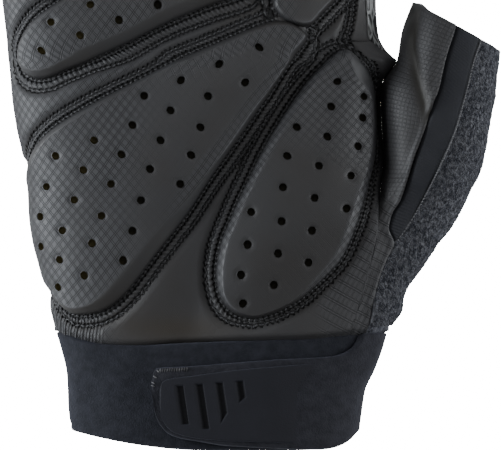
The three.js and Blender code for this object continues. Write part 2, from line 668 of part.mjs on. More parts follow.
// Padded leather that lies on the palm: rings from its centre out to its outline, top and underside.
function pad({ outline, centre, rings, holes }) {
  const corners = outline.map(([x, y]) => new THREE.Vector3(x, y, 0));
  const curve = new THREE.CatmullRomCurve3(corners, true);
  const edge = curve.getSpacedPoints(padSides).slice(0, padSides).map(p => handPlace(p.x, p.y));
  const middle = handPlace(...centre);
  const swell = ring => padRim + (padHeight - padRim) * Math.sqrt(1 - ring ** 4);
  const layer = height => rings.slice(1).flatMap(ring => edge.map(([angle, row]) => (
    aboveHand(mix(middle[0], angle, ring), mix(middle[1], row, ring), layerGap + height(ring)).point)));
  const points = [
    aboveHand(...middle, layerGap + swell(0)).point, ...layer(swell),
    aboveHand(...middle, layerGap).point, ...layer(() => 0),
  ];
  const half = points.length / 2;
  const faces = [];
  for (let side = 0; side < padSides; side++) {
    const next = (side + 1) % padSides;
    const at = (ring, place) => 1 + ring * padSides + place;
    const skin = [[0, at(0, next), at(0, side)]];
    for (let ring = 0; ring + 2 < rings.length; ring++) {
      skin.push([at(ring, side), at(ring, next), at(ring + 1, next)]);
      skin.push([at(ring, side), at(ring + 1, next), at(ring + 1, side)]);
    }
    for (const [a, b, c] of skin) faces.push([a, b, c], [a + half, c + half, b + half]);
    const [a, b] = [at(rings.length - 2, side), at(rings.length - 2, next)];
    faces.push([a, b, b + half], [a, b + half, a + half]);
  }
  const drills = holes.flatMap(row => Array.from({ length: row.along }, (_, i) => {
    const place = handPlace(row.x + i * row.step[0], row.y + i * row.step[1]);
    const { point, out } = aboveHand(...place, layerGap + padHeight / 2);
    const drill = new THREE.CylinderGeometry(holeWidth / 2, holeWidth / 2, 3 * padHeight, holeSides);
    drill.applyQuaternion(new THREE.Quaternion().setFromUnitVectors(new THREE.Vector3(0, 1, 0), out));
    return drill.translate(...point.toArray());
  }));
  return cutFrom(geometryOf(points, faces), [palmSheet.wall(leatherWall, pieceGap), ...drills]);
}

const glove = new THREE.Group();
glove.name = 'short_finger_glove';

function add(name, geometry, material) {
  geometry.computeVertexNormals();
  const mesh = new THREE.Mesh(geometry, material);
  mesh.name = name;
  glove.add(mesh);
}

const finish = (color, roughness) => new THREE.MeshStandardMaterial({ color, roughness, metalness: 0 });
const leather = finish(0x3a3a3c, 0.5);
const stretchFabric = finish(0x2c2e32, 0.85);
const terryCloth = finish(0x35373c, 0.95);
const elastic = finish(0x24262b, 0.8);
const neoprene = finish(0x1e2026, 0.7);
const rubber = finish(0x1b1c20, 0.55);

const palmSheet = palmLeather();
const terrySheet = thumbTerry();
add('palm_leather', palmSheet.wall(leatherWall), leather);
const behindThumb = terrySheet.wall(terryWall, pieceGap);
add('back_fabric', cutFrom(backFabric().wall(fabricWall), [behindThumb]), stretchFabric);
add('thumb_strip', thumbStrip(), elastic);
add('thumb_terry', terrySheet.wall(terryWall), terryCloth);
for (let i = 0; i + 1 < fingers.length; i++) {
  const [left, right] = [fingers[i], fingers[i + 1]];
  add(`fourchette_${left.name}_${right.name}`, fourchette(left, right), stretchFabric);
}
add('cuff', cuff(), neoprene);
add('closure_strap', closureStrap(), neoprene);
add('grip_patch', gripPatch(), rubber);
for (const [name, one] of Object.entries(pads)) add(name, pad(one), leather);

// The origin is under the middle of the whole glove.
const box = new THREE.Box3().setFromObject(glove, true);
const middle = box.getCenter(new THREE.Vector3());
glove.position.set(-middle.x, -middle.y, -box.min.z);

export default glove;
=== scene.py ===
import math

import bmesh
import bpy
import numpy as np
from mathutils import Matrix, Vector
from mathutils.geometry import delaunay_2d_cdt


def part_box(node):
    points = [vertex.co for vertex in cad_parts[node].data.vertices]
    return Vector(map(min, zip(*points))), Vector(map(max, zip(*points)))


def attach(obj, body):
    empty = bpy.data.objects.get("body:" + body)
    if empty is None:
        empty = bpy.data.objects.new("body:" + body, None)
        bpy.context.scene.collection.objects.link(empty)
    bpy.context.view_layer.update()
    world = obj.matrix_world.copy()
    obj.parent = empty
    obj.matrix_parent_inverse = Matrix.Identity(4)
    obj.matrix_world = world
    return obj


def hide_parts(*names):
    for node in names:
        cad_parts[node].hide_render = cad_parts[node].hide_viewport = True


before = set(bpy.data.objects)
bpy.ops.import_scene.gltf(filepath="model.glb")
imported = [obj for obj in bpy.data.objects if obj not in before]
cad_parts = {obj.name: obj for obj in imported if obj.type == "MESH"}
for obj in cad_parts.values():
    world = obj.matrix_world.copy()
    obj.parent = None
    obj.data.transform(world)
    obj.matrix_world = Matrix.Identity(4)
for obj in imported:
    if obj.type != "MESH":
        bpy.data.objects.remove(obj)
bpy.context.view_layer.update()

# A right-hand short-finger training glove, palm up. Lengths are in millimetres until a mesh is made:
# x 0 is near the middle of the palm, y 0 is the wrist edge, z 0 the floor. A surface is a function of an
# angle round the section (0 at the left side, over the palm to pi, then round the back) and a row (y).

rng = np.random.default_rng(7)

shape = {
    "wrist": 30.7, "web": 101.4, "thumbTip": 116.5, "crotch": 131.0, "tip": 161.0,
    "press": 1.6,            # how far the back would bulge below the floor if it were not pressed flat
    "bluntness": 2.6,        # 2 is an ellipse, more is squarer
    "frontSeam": 15.0, "backSeam": 5.0, "fingerTipTop": 20.4,
}

# Outline on the little finger's side, height of the widest line, height of the palm.
hand = {
    "y":    [30.7, 36, 42, 48, 54, 60, 68, 78, 92, 104, 117, 131],
    "left": [-50.9, -51.8, -52.7, -54.0, -55.4, -56.3, -56.9, -59.5, -62.0, -63.1, -64.4, -65.6],
    "side": [13.5, 13.5, 13.5, 13.5, 13.5, 13.5, 13.5, 13.5, 13.0, 12.5, 12.0, 11.0],
    "top":  [26.8, 27.6, 28.2, 28.6, 28.8, 28.8, 28.8, 28.6, 28.0, 27.0, 25.0, 22.0],
}

# The forefinger's side above the web of the thumb, with the levels of its two seams.
forefingerSide = {
    "y":     [101.4, 104.3, 108.4, 117, 131],
    "x":     [38.2, 35.1, 33.3, 32.8, 33.9],
    "front": [12.7, 12.2, 12, 12, 11],
    "back":  [9.2, 11, 12, 12, 11],
}

# Thumb sections: inner end at (left, y), outer end at (rightX, rightY); strip and terry are seams as
# shares of the section; side is the widest line outside, front and back the two sides of the fold.
thumb = {
    "y":      [30.7, 39.0, 49.4, 53.8, 58.5, 67.6, 74.0, 85.8, 91.0, 94.9, 101.4, 108.5, 116.5],
    "left":   [26.5, 28.9, 31.5, 32.5, 33.3, 33.8, 34.8, 34.1, 33.8, 34.3, 38.2, 39.4, 42.3],
    "rightX": [36.5, 40.0, 46.8, 49.6, 53.0, 57.6, 60.0, 61.9, 62.4, 62.9, 64.1, 64.9, 65.2],
    "rightY": [30.7, 39.0, 49.4, 53.8, 58.5, 67.6, 72.2, 80.1, 83.7, 87.1, 92.3, 99.2, 104.0],
    "strip":  [0.39, 0.30, 0.28, 0.32, 0.146, 0.26, 0.28, 0.411, 0.449, 0.49, 0.455, 0.495, 0.506],
    "terry":  [0.39, 0.30, 0.28, 0.32, 0.417, 0.528, 0.56, 0.675, 0.722, 0.736, 0.73, 0.765, 0.787],
    "side":   [13.5, 13.5, 13.2, 13.0, 12.8, 12.4, 12.2, 12.0, 11.8, 11.6, 11.4, 11.2, 11],
    "top":    [26.8, 27.6, 27.8, 27.8, 27.8, 27.8, 27.6, 27.2, 26.8, 26.4, 25.6, 24.6, 23.4],
    "front":  [13.5, 13.5, 14, 15, 16, 16, 15.5, 14, 13.4, 13, 12.7, 11, 11],
    "back":   [0, 0, 0, 0, 0, 2, 4, 8, 8.6, 9, 9.2, 11, 11],
}

# Finger stalls from the little finger to the forefinger: start and end as shares of the hand's width,
# and the two ends of the opening.
fingers = {
    "from":   [0.0, 0.23, 0.49, 0.755],
    "to":     [0.23, 0.49, 0.755, 1.0],
    "leftX":  [-69.2, -45.4, -19.2, 8.2],
    "leftY":  [149.5, 158.5, 162.5, 159.5],
    "rightX": [-47.6, -21.6, 5.4, 33.6],
    "rightY": [153.0, 160.5, 162.5, 156.5],
}
crotches = {"share": [0, 0.23, 0.49, 0.755, 1], "rise": [-2, -0.5, 3.5, 3, 0]}
wristSeam = {
    "x": [-50.1, -44.2, -38, -30, -19.5, 0, 16, 29, 36],
    "y": [31.5, 29.3, 28.0, 27.6, 28.1, 28.9, 29.5, 30.9, 31.5],
}

# Where the millimetres lie in the frame: the little finger's stall and the cuff's edge give it.
shift = np.array([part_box("palm_leather")[0].x * 1000 - fingers["leftX"][0],
                  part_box("cuff")[0].y * 1000, 0.0])


def curve(table, name, place, key="y"):
    # Smooth curve through one column: a cubic between each two rows, whose slope at a row is the
    # harmonic mean of the slopes on both sides, so it never overshoots.
    x, v = np.asarray(table[key], float), np.asarray(table[name], float)
    rise = np.diff(v) / np.diff(x)
    both = rise[:-1] * rise[1:] > 0
    total = np.where(both, rise[:-1] + rise[1:], 1)
    slope = np.concatenate([rise[:1], np.where(both, 2 * rise[:-1] * rise[1:] / total, 0), rise[-1:]])
    i = np.clip(np.searchsorted(x, place, side="right") - 1, 0, len(x) - 2)
    span = x[i + 1] - x[i]
    t = np.clip((place - x[i]) / span, 0, 1)
    bend = (v[i + 1] - v[i]) * t * t * (3 - 2 * t)
    return v[i] + bend + span * t * (1 - t) * (slope[i] * (1 - t) - slope[i + 1] * t)


def mix(a, b, t):
    return a + (b - a) * t


def smooth(low, high, value):
    # 0 below low, 1 above high, an S curve between.
    t = np.clip((value - low) / (high - low), 0, 1)
    return t * t * (3 - 2 * t)


def bell(distance, width):
    # 1 at no distance, falling off as a bell curve.
    return np.exp(-(distance / width) ** 2)


def arch(across, leftLevel, rightLevel, reach):
    # Side of a section: from one level to the other, standing off towards reach by a blunt ellipse.
    level = mix(leftLevel, rightLevel, across)
    swell = np.sqrt(np.maximum(0, 1 - np.abs(2 * across - 1) ** shape["bluntness"]))
    return level + (reach - level) * swell


def distanceToPath(path, x, y):
    # Least distance from each point to a chain of straight pieces.
    near = np.full(np.broadcast(x, y).shape, 1e9)
    for (ax, ay), (bx, by) in zip(path[:-1], path[1:]):
        dx, dy = bx - ax, by - ay
        t = np.clip(((x - ax) * dx + (y - ay) * dy) / (dx * dx + dy * dy), 0, 1)
        near = np.minimum(near, np.hypot(x - ax - t * dx, y - ay - t * dy))
    return near


def clouds(x, y, cell, seed):
    # Soft random hills of a given size: random heights on a square lattice, blended between corners.
    heights = np.random.default_rng(seed).uniform(-1, 1, (64, 64))
    u, v = np.asarray(x) / cell + 31.7, np.asarray(y) / cell + 17.3
    i, j = np.floor(u).astype(int), np.floor(v).astype(int)
    fu, fv = smooth(0, 1, u - i), smooth(0, 1, v - j)
    at = lambda a, b: heights[a % 64, b % 64]
    return mix(mix(at(i, j), at(i + 1, j), fu), mix(at(i, j + 1), at(i + 1, j + 1), fu), fv)


def hills(x, y, soft):
    # Several of them together: each has a height, a size and a seed.
    return sum(rise * clouds(x, y, size, seed) for rise, size, seed in soft)


# The thumb's seams seen from above: the leather's edge beside strip and terry, and the strip's edge
# beside the terry.
leatherEdge = {
    "y": [30.7, 32.5, 39.0, 44.2, 48.9, 51.8, 53.6, 57.7, 61.1, 65.0, 76.7, 83.2, 88.4, 93.6, 101.4,
          109.7, 113.5],
    "x": [30.2, 30.9, 32.0, 33.3, 35.1, 36.6, 37.4, 35.9, 36.7, 39.0, 42.9, 45.2, 46.8, 48.9, 50.7,
          53.3, 54.2],
}
terryEdge = {
    "y": [30.7, 53.6, 54.5, 59.3, 66.3, 74.1, 83.2, 92.3, 101.4, 106.1, 110],
    "x": [30.2, 37.4, 38.2, 41.6, 45.5, 49.4, 53.3, 55.9, 58.2, 59.8, 60.8],
}

# Broad valleys between the pads, in the palm itself.
valleys = [
    {"path": [(26, 111), (1.5, 83), (-12, 57), (-16, 34)], "depth": 2.4, "width": 9},
    {"path": [(-58, 98), (-40, 101), (-18, 108), (2, 117)], "depth": 1.2, "width": 6},
]
# Folds of the thumb's leather: a valley down from its opening and the swelling beside it.
thumbFolds = [
    {"path": [(42.3, 114), (41.4, 105), (42.9, 97.5), (45.1, 90), (46.4, 85)],
     "rise": -0.9, "width": 1.5},
    {"path": [(48.8, 111), (47.9, 101), (47.2, 93), (46.8, 88)], "rise": 0.8, "width": 3.0},
    {"path": [(33.4, 96), (33.4, 87), (33.7, 80), (33.8, 74)], "rise": -1.2, "width": 1.2},
]


def handLeft(y):
    return curve(hand, "left", y)


def handRight(y):
    return np.where(y <= shape["web"], curve(thumb, "left", y), curve(forefingerSide, "x", y))


def handShare(y):
    # Part of the whole section, from the little finger's side to the thumb's outer end, that is hand.
    own = handRight(y) - handLeft(y)
    more = np.hypot(curve(thumb, "rightX", y) - handRight(y), curve(thumb, "rightY", y) - y)
    return np.where(y > shape["web"], 1, own / (own + more))


def foldDepth(y):
    return np.where(y > shape["web"], 1, smooth(56, 76, y))


def fingerDepth(y):
    return smooth(119, shape["crotch"], y)


def wholeHeight(share, y, palm):
    # The section where hand and thumb are one, below the thumb's fold.
    top = mix(curve(hand, "top", y), curve(thumb, "top", y), smooth(0.6, 1, share))
    reach = np.where(palm, top, -shape["press"])
    return arch(share, curve(hand, "side", y), curve(thumb, "side", y), reach)


def fingerHeight(number, local, top, palm):
    seam = np.where(palm, shape["frontSeam"], shape["backSeam"])
    side = hand["side"][-1]
    left = np.where(number == 0, side, seam)
    right = np.where(number == 3, side, seam)
    return arch(local, left, right, np.where(palm, top, -shape["press"]))


def handHeight(share, x, y, palm):
    top = curve(hand, "top", y)
    column = np.where(palm, curve(thumb, "front", y), curve(thumb, "back", y))
    above = np.where(palm, curve(forefingerSide, "front", y), curve(forefingerSide, "back", y))
    edge = np.where(y > shape["web"], above, column)
    own = arch(share, curve(hand, "side", y), edge, np.where(palm, top, -shape["press"]))
    whole = wholeHeight(share * handShare(y), y, palm)
    height = np.where(y > shape["web"], own, mix(whole, own, foldDepth(y)))
    number = np.clip(np.searchsorted(fingers["to"], share), 0, 3)
    start, end = np.take(fingers["from"], number), np.take(fingers["to"], number)
    onFinger = fingerHeight(number, np.clip((share - start) / (end - start), 0, 1), top, palm)
    height = mix(height, onFinger, fingerDepth(y))
    sink = sum(one["depth"] * bell(distanceToPath(one["path"], x, y), one["width"]) for one in valleys)
    sunk = height - arch(share, 0, 0, 1) * (1 - fingerDepth(y)) * sink
    return np.where(palm, sunk, np.maximum(0, height))


def rowShift(share, x, y):
    # Rows bend to the wrist seam at one end and to the finger crotches at the other.
    atWrist = (curve(wristSeam, "y", x, key="x") - shape["wrist"]) * (1 - smooth(shape["wrist"], 62, y))
    return atWrist + curve(crotches, "rise", share, key="share") * smooth(106, shape["crotch"], y)


def handPoint(share, y, palm):
    # x runs straight across from side to side, y is the bent row, z the section's height.
    share, y, palm = np.broadcast_arrays(share, y, palm)
    x = mix(handLeft(y), handRight(y), share)
    return np.stack([x, y + rowShift(share, x, y), handHeight(share, x, y, palm)], -1)


def thumbPoint(share, y, palm):
    # The same for the thumb, whose sections are turned: they run from (left, y) to (rightX, rightY).
    share, y, palm = np.broadcast_arrays(share, y, palm)
    x = mix(curve(thumb, "left", y), curve(thumb, "rightX", y), share)
    reach = np.where(palm, curve(thumb, "top", y), -shape["press"])
    level = np.where(palm, curve(thumb, "front", y), curve(thumb, "back", y))
    own = arch(share, level, curve(thumb, "side", y), reach)
    part = handShare(y)
    whole = np.where(y > shape["web"], 0, wholeHeight(mix(part, 1, share), y, palm))
    z = np.maximum(0, mix(whole, own, foldDepth(y)))
    bend = np.where(y > shape["web"], 0, rowShift(np.zeros_like(share), x, np.minimum(y, shape["web"])))
    far = curve(thumb, "rightY", y) + np.minimum(0, y - shape["wrist"])
    return np.stack([x, mix(y, far, share) + bend, z], -1)


def fingerPoint(number, share, row, palm):
    # Up to the crotches a point of the hand; past them straight on to the finger's opening.
    share, row, palm = np.broadcast_arrays(share, row, palm)
    start, end = fingers["from"][number], fingers["to"][number]
    local = (share - start) / (end - start)
    along = np.clip((row - shape["crotch"]) / (shape["tip"] - shape["crotch"]), 0, 1)
    root = handPoint(share, np.minimum(row, shape["crotch"]), palm)
    top = mix(hand["top"][-1], shape["fingerTipTop"], along)
    height = np.maximum(0, fingerHeight(number, np.clip(local, 0, 1), top, palm))
    onward = np.stack([
        mix(root[..., 0], mix(fingers["leftX"][number], fingers["rightX"][number], local), along),
        mix(root[..., 1], mix(fingers["leftY"][number], fingers["rightY"][number], local), along),
        height,
    ], -1)
    return np.where((row > shape["crotch"])[..., None], onward, root)


def seamShare(edge, row):
    # Share of the thumb's section that lies on a seam drawn from above, by halving.
    row = np.asarray(row, float)
    low, high = np.zeros_like(row), np.ones_like(row)
    for _ in range(24):
        middle = (low + high) / 2
        point = thumbPoint(middle, row, np.ones_like(row, bool))
        left = point[..., 0] < curve(edge, "x", point[..., 1])
        low, high = np.where(left, middle, low), np.where(left, high, middle)
    return (low + high) / 2


def shareOf(angle):
    return (1 - np.cos(angle)) / 2


def angleOf(share):
    return np.arccos(np.clip(1 - 2 * share, -1, 1))


def around(pointAt):
    return lambda angle, row: pointAt(shareOf(angle), row, np.sin(angle) > -1e-9)


class Skin:
    # A surface by angle and row. Its lengths across are measured, so that patterns keep their size and
    # things can be laid out on it flat: s is the length from the angle called middle, in millimetres.
    # Past the row called flatTo they stay as they are there.
    def __init__(self, pointAt, angles, rows, middle, flatTo=999):
        self.pointAt = pointAt
        self.flatTo = flatTo
        self.angles = np.linspace(*angles, 361)
        self.rows = np.linspace(*rows, 181)
        grid = pointAt(self.angles[None, :], self.rows[:, None])
        steps = np.linalg.norm(np.diff(grid, axis=1), axis=2)
        lengths = np.concatenate([np.zeros((len(self.rows), 1)), np.cumsum(steps, axis=1)], axis=1)
        at = np.argmin(np.abs(self.angles - middle))
        self.lengths = lengths - lengths[:, at:at + 1]

    def across(self, angle, row):
        # Length s at an angle and row, read between the measured ones.
        angle, row = np.broadcast_arrays(np.asarray(angle, float), np.minimum(row, self.flatTo))
        u = np.clip((angle - self.angles[0]) / (self.angles[1] - self.angles[0]), 0, 359.999)
        v = np.clip((row - self.rows[0]) / (self.rows[1] - self.rows[0]), 0, 179.999)
        i, j = u.astype(int), v.astype(int)
        low = mix(self.lengths[j, i], self.lengths[j, i + 1], u - i)
        high = mix(self.lengths[j + 1, i], self.lengths[j + 1, i + 1], u - i)
        return mix(low, high, v - j)

    def angleAt(self, s, row):
        # The angle whose length is s, by halving.
        s, row = np.broadcast_arrays(np.asarray(s, float), np.asarray(row, float))
        low, high = np.full(s.shape, self.angles[0]), np.full(s.shape, self.angles[-1])
        for _ in range(26):
            middle = (low + high) / 2
            short = self.across(middle, row) < s
            low, high = np.where(short, middle, low), np.where(short, high, middle)
        return (low + high) / 2

    def axes(self, angle, row):
        # Point, direction across, direction along and direction out.
        angle, row = np.broadcast_arrays(np.asarray(angle, float), np.asarray(row, float))
        step = 0.02
        across = self.pointAt(angle + step, row) - self.pointAt(angle - step, row)
        along = self.pointAt(angle, row + step * 10) - self.pointAt(angle, row - step * 10)
        out = unit(np.cross(across, along))
        return self.pointAt(angle, row), unit(across), unit(along), out

    def lifted(self, angle, row, lift):
        point, _, _, out = self.axes(angle, row)
        return point + out * np.asarray(lift)[..., None]


def unit(vectors):
    return vectors / np.maximum(np.linalg.norm(vectors, axis=-1, keepdims=True), 1e-9)


handSkin = Skin(around(handPoint), (-1.2, math.pi + 0.2), (28, shape["crotch"]), math.pi / 2, 116)
print("hand measured")


def handPlace(x, y):
    # Angle and row of a place seen from above; one left of the hand's outline lies round its side.
    x, y = np.asarray(x, float), np.asarray(y, float)
    row, share = y.copy(), np.zeros_like(x)
    for _ in range(8):
        share = (x - handLeft(row)) / (handRight(row) - handLeft(row))
        row = y - rowShift(np.maximum(share, 0), x, row)
    return np.where(share < 0, -angleOf(-share) / 2, angleOf(share)), row


def flatPlace(x, y, liftAt=None):
    # The same place on the flat leather; with a lift, the place whose lifted point is seen there.
    aim = np.stack([np.asarray(x, float), np.asarray(y, float)], -1)
    at = aim.copy()
    for _ in range(12 if liftAt else 1):
        angle, row = handPlace(at[..., 0], at[..., 1])
        flat = np.stack([handSkin.across(angle, row), row], -1)
        if liftAt:
            seen = handSkin.lifted(angle, row, liftAt(flat, angle) + 0 * row)
            at = at + (aim - seen[..., :2]) * 0.7
    return flat


def closedCurve(corners, count):
    # Round outline through a few corners (a cubic between each two), cut into equal steps.
    p = np.asarray(corners, float)
    a, b, c, d = (np.roll(p, k, axis=0)[:, None, :] for k in (1, 0, -1, -2))
    t = np.linspace(0, 1, 24, endpoint=False)[None, :, None]
    fine = 0.5 * (2 * b + (c - a) * t + (2 * a - 5 * b + 4 * c - d) * t ** 2
                  + (3 * b - a - 3 * c + d) * t ** 3)
    return equalSteps(closed(fine.reshape(-1, p.shape[1])), count)[:-1]


def closed(outline):
    return np.concatenate([outline, outline[:1]])


def lengthsAlong(line):
    return np.concatenate([[0], np.cumsum(np.linalg.norm(np.diff(line, axis=0), axis=1))])


def readAlong(line, values, places):
    # Values given at the points of a line, read at any length along it.
    length = lengthsAlong(line)
    return np.stack([np.interp(places, length, column) for column in values.T], -1)


def equalSteps(line, count):
    # The same line with count equal steps.
    return readAlong(line, line, np.linspace(0, lengthsAlong(line)[-1], count + 1))


def outward(outline):
    # Directions out of a closed outline that runs clockwise seen from above.
    ahead = unit(np.roll(outline, -1, axis=0) - np.roll(outline, 1, axis=0))
    return np.stack([-ahead[:, 1], ahead[:, 0]], -1)


def nearestOn(line, points):
    # Nearest place on a chain of straight pieces: how far off, how far along it, and which side.
    p = points.reshape(-1, 2)
    edge = np.diff(line, axis=0)
    length, start = np.linalg.norm(edge, axis=1), lengthsAlong(line)[:-1]
    off, along, side = (np.empty(len(p)) for _ in range(3))
    for first in range(0, len(p), 4000):
        part = slice(first, first + 4000)
        q = p[part, None, :] - line[:-1]
        t = np.clip((q * edge).sum(-1) / length ** 2, 0, 1)
        rest = q - t[..., None] * edge
        distance = np.hypot(rest[..., 0], rest[..., 1])
        best = distance.argmin(1)
        pick = np.arange(len(best)), best
        off[part] = distance[pick]
        along[part] = start[best] + t[pick] * length[best]
        side[part] = np.sign(edge[best, 0] * rest[pick][:, 1] - edge[best, 1] * rest[pick][:, 0])
    return [value.reshape(points.shape[:-1]) for value in (off, along, side)]


def outlineDistance(outline, points):
    # Distance to a closed outline, more than 0 outside it and less inside.
    off, _, side = nearestOn(closed(outline), points)
    return np.where(side > 0, off, -off)


def makeMesh(name, points, faces, uv=None, parts=None, marks=None):
    # Mesh from points in millimetres, faces as lists of corners, uv by point in millimetres too,
    # material numbers, and marks: values by point that the materials read.
    mesh = bpy.data.meshes.new(name)
    mesh.from_pydata((points + shift) / 1000, [], [list(f) for f in faces])
    if uv is not None:
        corners = np.empty(len(mesh.loops), int)
        mesh.loops.foreach_get("vertex_index", corners)
        layer = mesh.uv_layers.new(name="surface")
        layer.data.foreach_set("uv", uv[corners].astype(float).ravel() / 100)
    if parts is not None:
        mesh.polygons.foreach_set("material_index", np.asarray(parts, dtype=np.int32))
    for mark, values in (marks or {}).items():
        mesh.attributes.new(mark, "FLOAT", "POINT").data.foreach_set("value", values.astype(np.float32))
    mesh.polygons.foreach_set("use_smooth", np.ones(len(mesh.polygons), bool))
    mesh.update()
    piece = bpy.data.objects.new(name, mesh)
    bpy.context.scene.collection.objects.link(piece)
    return piece


def gridFaces(rows, columns, start=0, ring=False):
    # Four-sided faces of a grid of points, counted row by row. A ring's last column meets its first.
    r, c = np.meshgrid(np.arange(rows - 1), np.arange(columns if ring else columns - 1), indexing="ij")
    a = start + r * columns + c
    b = start + r * columns + (c + 1) % columns
    return np.stack([a, b, b + columns, a + columns], -1).reshape(-1, 4)


# What the leather's materials read at each point: how strongly it is embossed, how little painted
# shade it has (1 is none), how worn and painted with a highlight, how browned, folded and gathered it
# is, how far it is past its seam's two rows of stitches, in millimetres, and how far along them, in
# stitches.
plainMarks = {"pressed": 1.0, "clean": 1.0, "worn": 0.0, "browned": 0.0, "folded": 0.0, "gathered": 0.0,
              "innerRow": 9.0, "outerRow": 9.0, "alongRow": 0.0}


def joined(name, patches, weld=0.02):
    # One piece from several grids: points, uv, part number and, for leather, its marks. Points that
    # meet are merged.
    points, uv, faces, parts, start = [], [], [], [], 0
    marks = {mark: [] for mark in plainMarks}
    for grid, flat, part, *values in patches:
        rows, columns = grid.shape[:2]
        for mark, value in (plainMarks | (values[0] if values else {})).items():
            marks[mark].append(np.broadcast_to(value, (rows, columns)).ravel())
        points.append(grid.reshape(-1, 3))
        uv.append(flat.reshape(-1, 2))
        new = gridFaces(rows, columns, start)
        faces.append(new)
        parts.append(np.full(len(new), part))
        start += rows * columns
    marks = {mark: np.concatenate(values) for mark, values in marks.items()}
    points, faces, uv, parts = (np.concatenate(each) for each in (points, faces, uv, parts))
    piece = makeMesh(name, points, faces, uv, parts, marks)
    weldPoints(piece, weld)
    return piece


def weldPoints(piece, weld=0.02):
    work = bmesh.new()
    work.from_mesh(piece.data)
    bmesh.ops.remove_doubles(work, verts=work.verts, dist=weld / 1000)
    work.to_mesh(piece.data)
    work.free()
    piece.data.update()


def closedSheet(name, grid, flat, ring=False, marks=None):
    # A sheet whose closed profile runs across its rows: the last row meets the first. Open ends are
    # capped, and a ring has none.
    rows, columns = grid.shape[:2]
    a = np.arange(columns if ring else columns - 1)
    b, last = (a + 1) % columns, (rows - 1) * columns
    close = np.stack([a + last, b + last, b, a], -1)
    faces = np.vstack([gridFaces(rows, columns, 0, ring), close]).tolist()
    if not ring:
        first = list(range(0, rows * columns, columns))
        faces += [first, [corner + columns - 1 for corner in first[::-1]]]
    return makeMesh(name, grid.reshape(-1, 3), faces, flat.reshape(-1, 2), None, marks)


def roundedEnd(depth, wall, inward, reach):
    # Depth below a sheet's outside, thinned to a half circle over a reach from its end.
    thick = np.sqrt(1 - (1 - np.clip(inward / reach, 0.02, 1)) ** 2)
    return wall / 2 + (depth - wall / 2) * thick


def thicken(piece, one):
    # Gives a skin its wall, inward, and rounds the cut edges.
    solid = piece.modifiers.new("wall", "SOLIDIFY")
    solid.thickness, solid.offset, solid.use_even_offset = one["wall"] / 1000, -1, False
    edge = piece.modifiers.new("edge", "BEVEL")
    edge.width, edge.segments, edge.limit_method = one["round"] / 1000, 2, "ANGLE"
    edge.angle_limit = math.radians(76)


def finishPiece(piece, slot, materials, *nodes):
    # Gives a piece its materials and its place in the frame.
    for material in materials:
        piece.data.materials.append(material)
    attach(piece, "root")
    if nodes:
        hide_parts(*nodes)


class Maker:
    # Short ways to add nodes to a material. A value is a number, a colour or another node's output.
    def __init__(self, name, colour, finish):
        self.material = bpy.data.materials.new(name)
        self.material.use_nodes = True
        self.material.diffuse_color = (*colour, 1)
        self.tree = self.material.node_tree
        self.shader = self.tree.nodes["Principled BSDF"]
        self.shader.inputs["Base Color"].default_value = (*colour, 1)
        for socket, value in finish.items():
            self.shader.inputs[socket].default_value = value

    def put(self, socket, value):
        if isinstance(value, bpy.types.NodeSocket):
            self.tree.links.new(value, socket)
        else:
            socket.default_value = value

    def add(self, kind, inputs, output, **settings):
        node = self.tree.nodes.new(kind)
        for key, value in settings.items():
            setattr(node, key, value)
        for socket, value in inputs.items():
            self.put(node.inputs[socket], value)
        return node.outputs[output]

    def calc(self, operation, *values):
        return self.add("ShaderNodeMath", dict(enumerate(values)), 0, operation=operation)

    def step(self, value, low, high, outLow=0.0, outHigh=1.0):
        inputs = {"Value": value, "From Min": low, "From Max": high, "To Min": outLow, "To Max": outHigh}
        return self.add("ShaderNodeMapRange", inputs, 0, interpolation_type="SMOOTHSTEP")

    def place(self):
        return self.add("ShaderNodeTexCoord", {}, "Object")

    def surface(self):
        # The two lengths of the piece's own UV map, in millimetres.
        uv = self.add("ShaderNodeUVMap", {}, 0, uv_map="surface")
        parts = self.tree.nodes.new("ShaderNodeSeparateXYZ")
        self.put(parts.inputs[0], uv)
        return [self.calc("MULTIPLY", parts.outputs[k], 100) for k in range(2)]

    def mark(self, name):
        return self.add("ShaderNodeAttribute", {}, "Fac", attribute_name=name)

    def noise(self, vector, scale, detail=2.0, roughness=0.5):
        inputs = {"Vector": vector, "Scale": scale, "Detail": detail, "Roughness": roughness}
        return self.add("ShaderNodeTexNoise", inputs, 0)

    def cells(self, vector, scale, feature="F1"):
        inputs = {"Vector": vector, "Scale": scale}
        return self.add("ShaderNodeTexVoronoi", inputs, "Distance", feature=feature)

    def colours(self, factor, first, second):
        inputs = {0: factor, 6: (*first, 1) if isinstance(first, tuple) else first,
                  7: (*second, 1) if isinstance(second, tuple) else second}
        return self.add("ShaderNodeMix", inputs, 2, data_type="RGBA")

    def bump(self, height, depth, normal=None):
        # depth is how far the height moves the surface, in millimetres.
        inputs = {"Height": height, "Distance": depth / 1000, "Strength": 1.0}
        if normal is not None:
            inputs["Normal"] = normal
        return self.add("ShaderNodeBump", inputs, 0)

    def wear(self, base, normal, rough=None):
        # Links the finished colour and relief to the shader and gives back the material.
        self.put(self.shader.inputs["Base Color"], base)
        if rough is not None:
            self.put(self.shader.inputs["Roughness"], rough)
        self.put(self.shader.inputs["Normal"], normal)
        return self.material


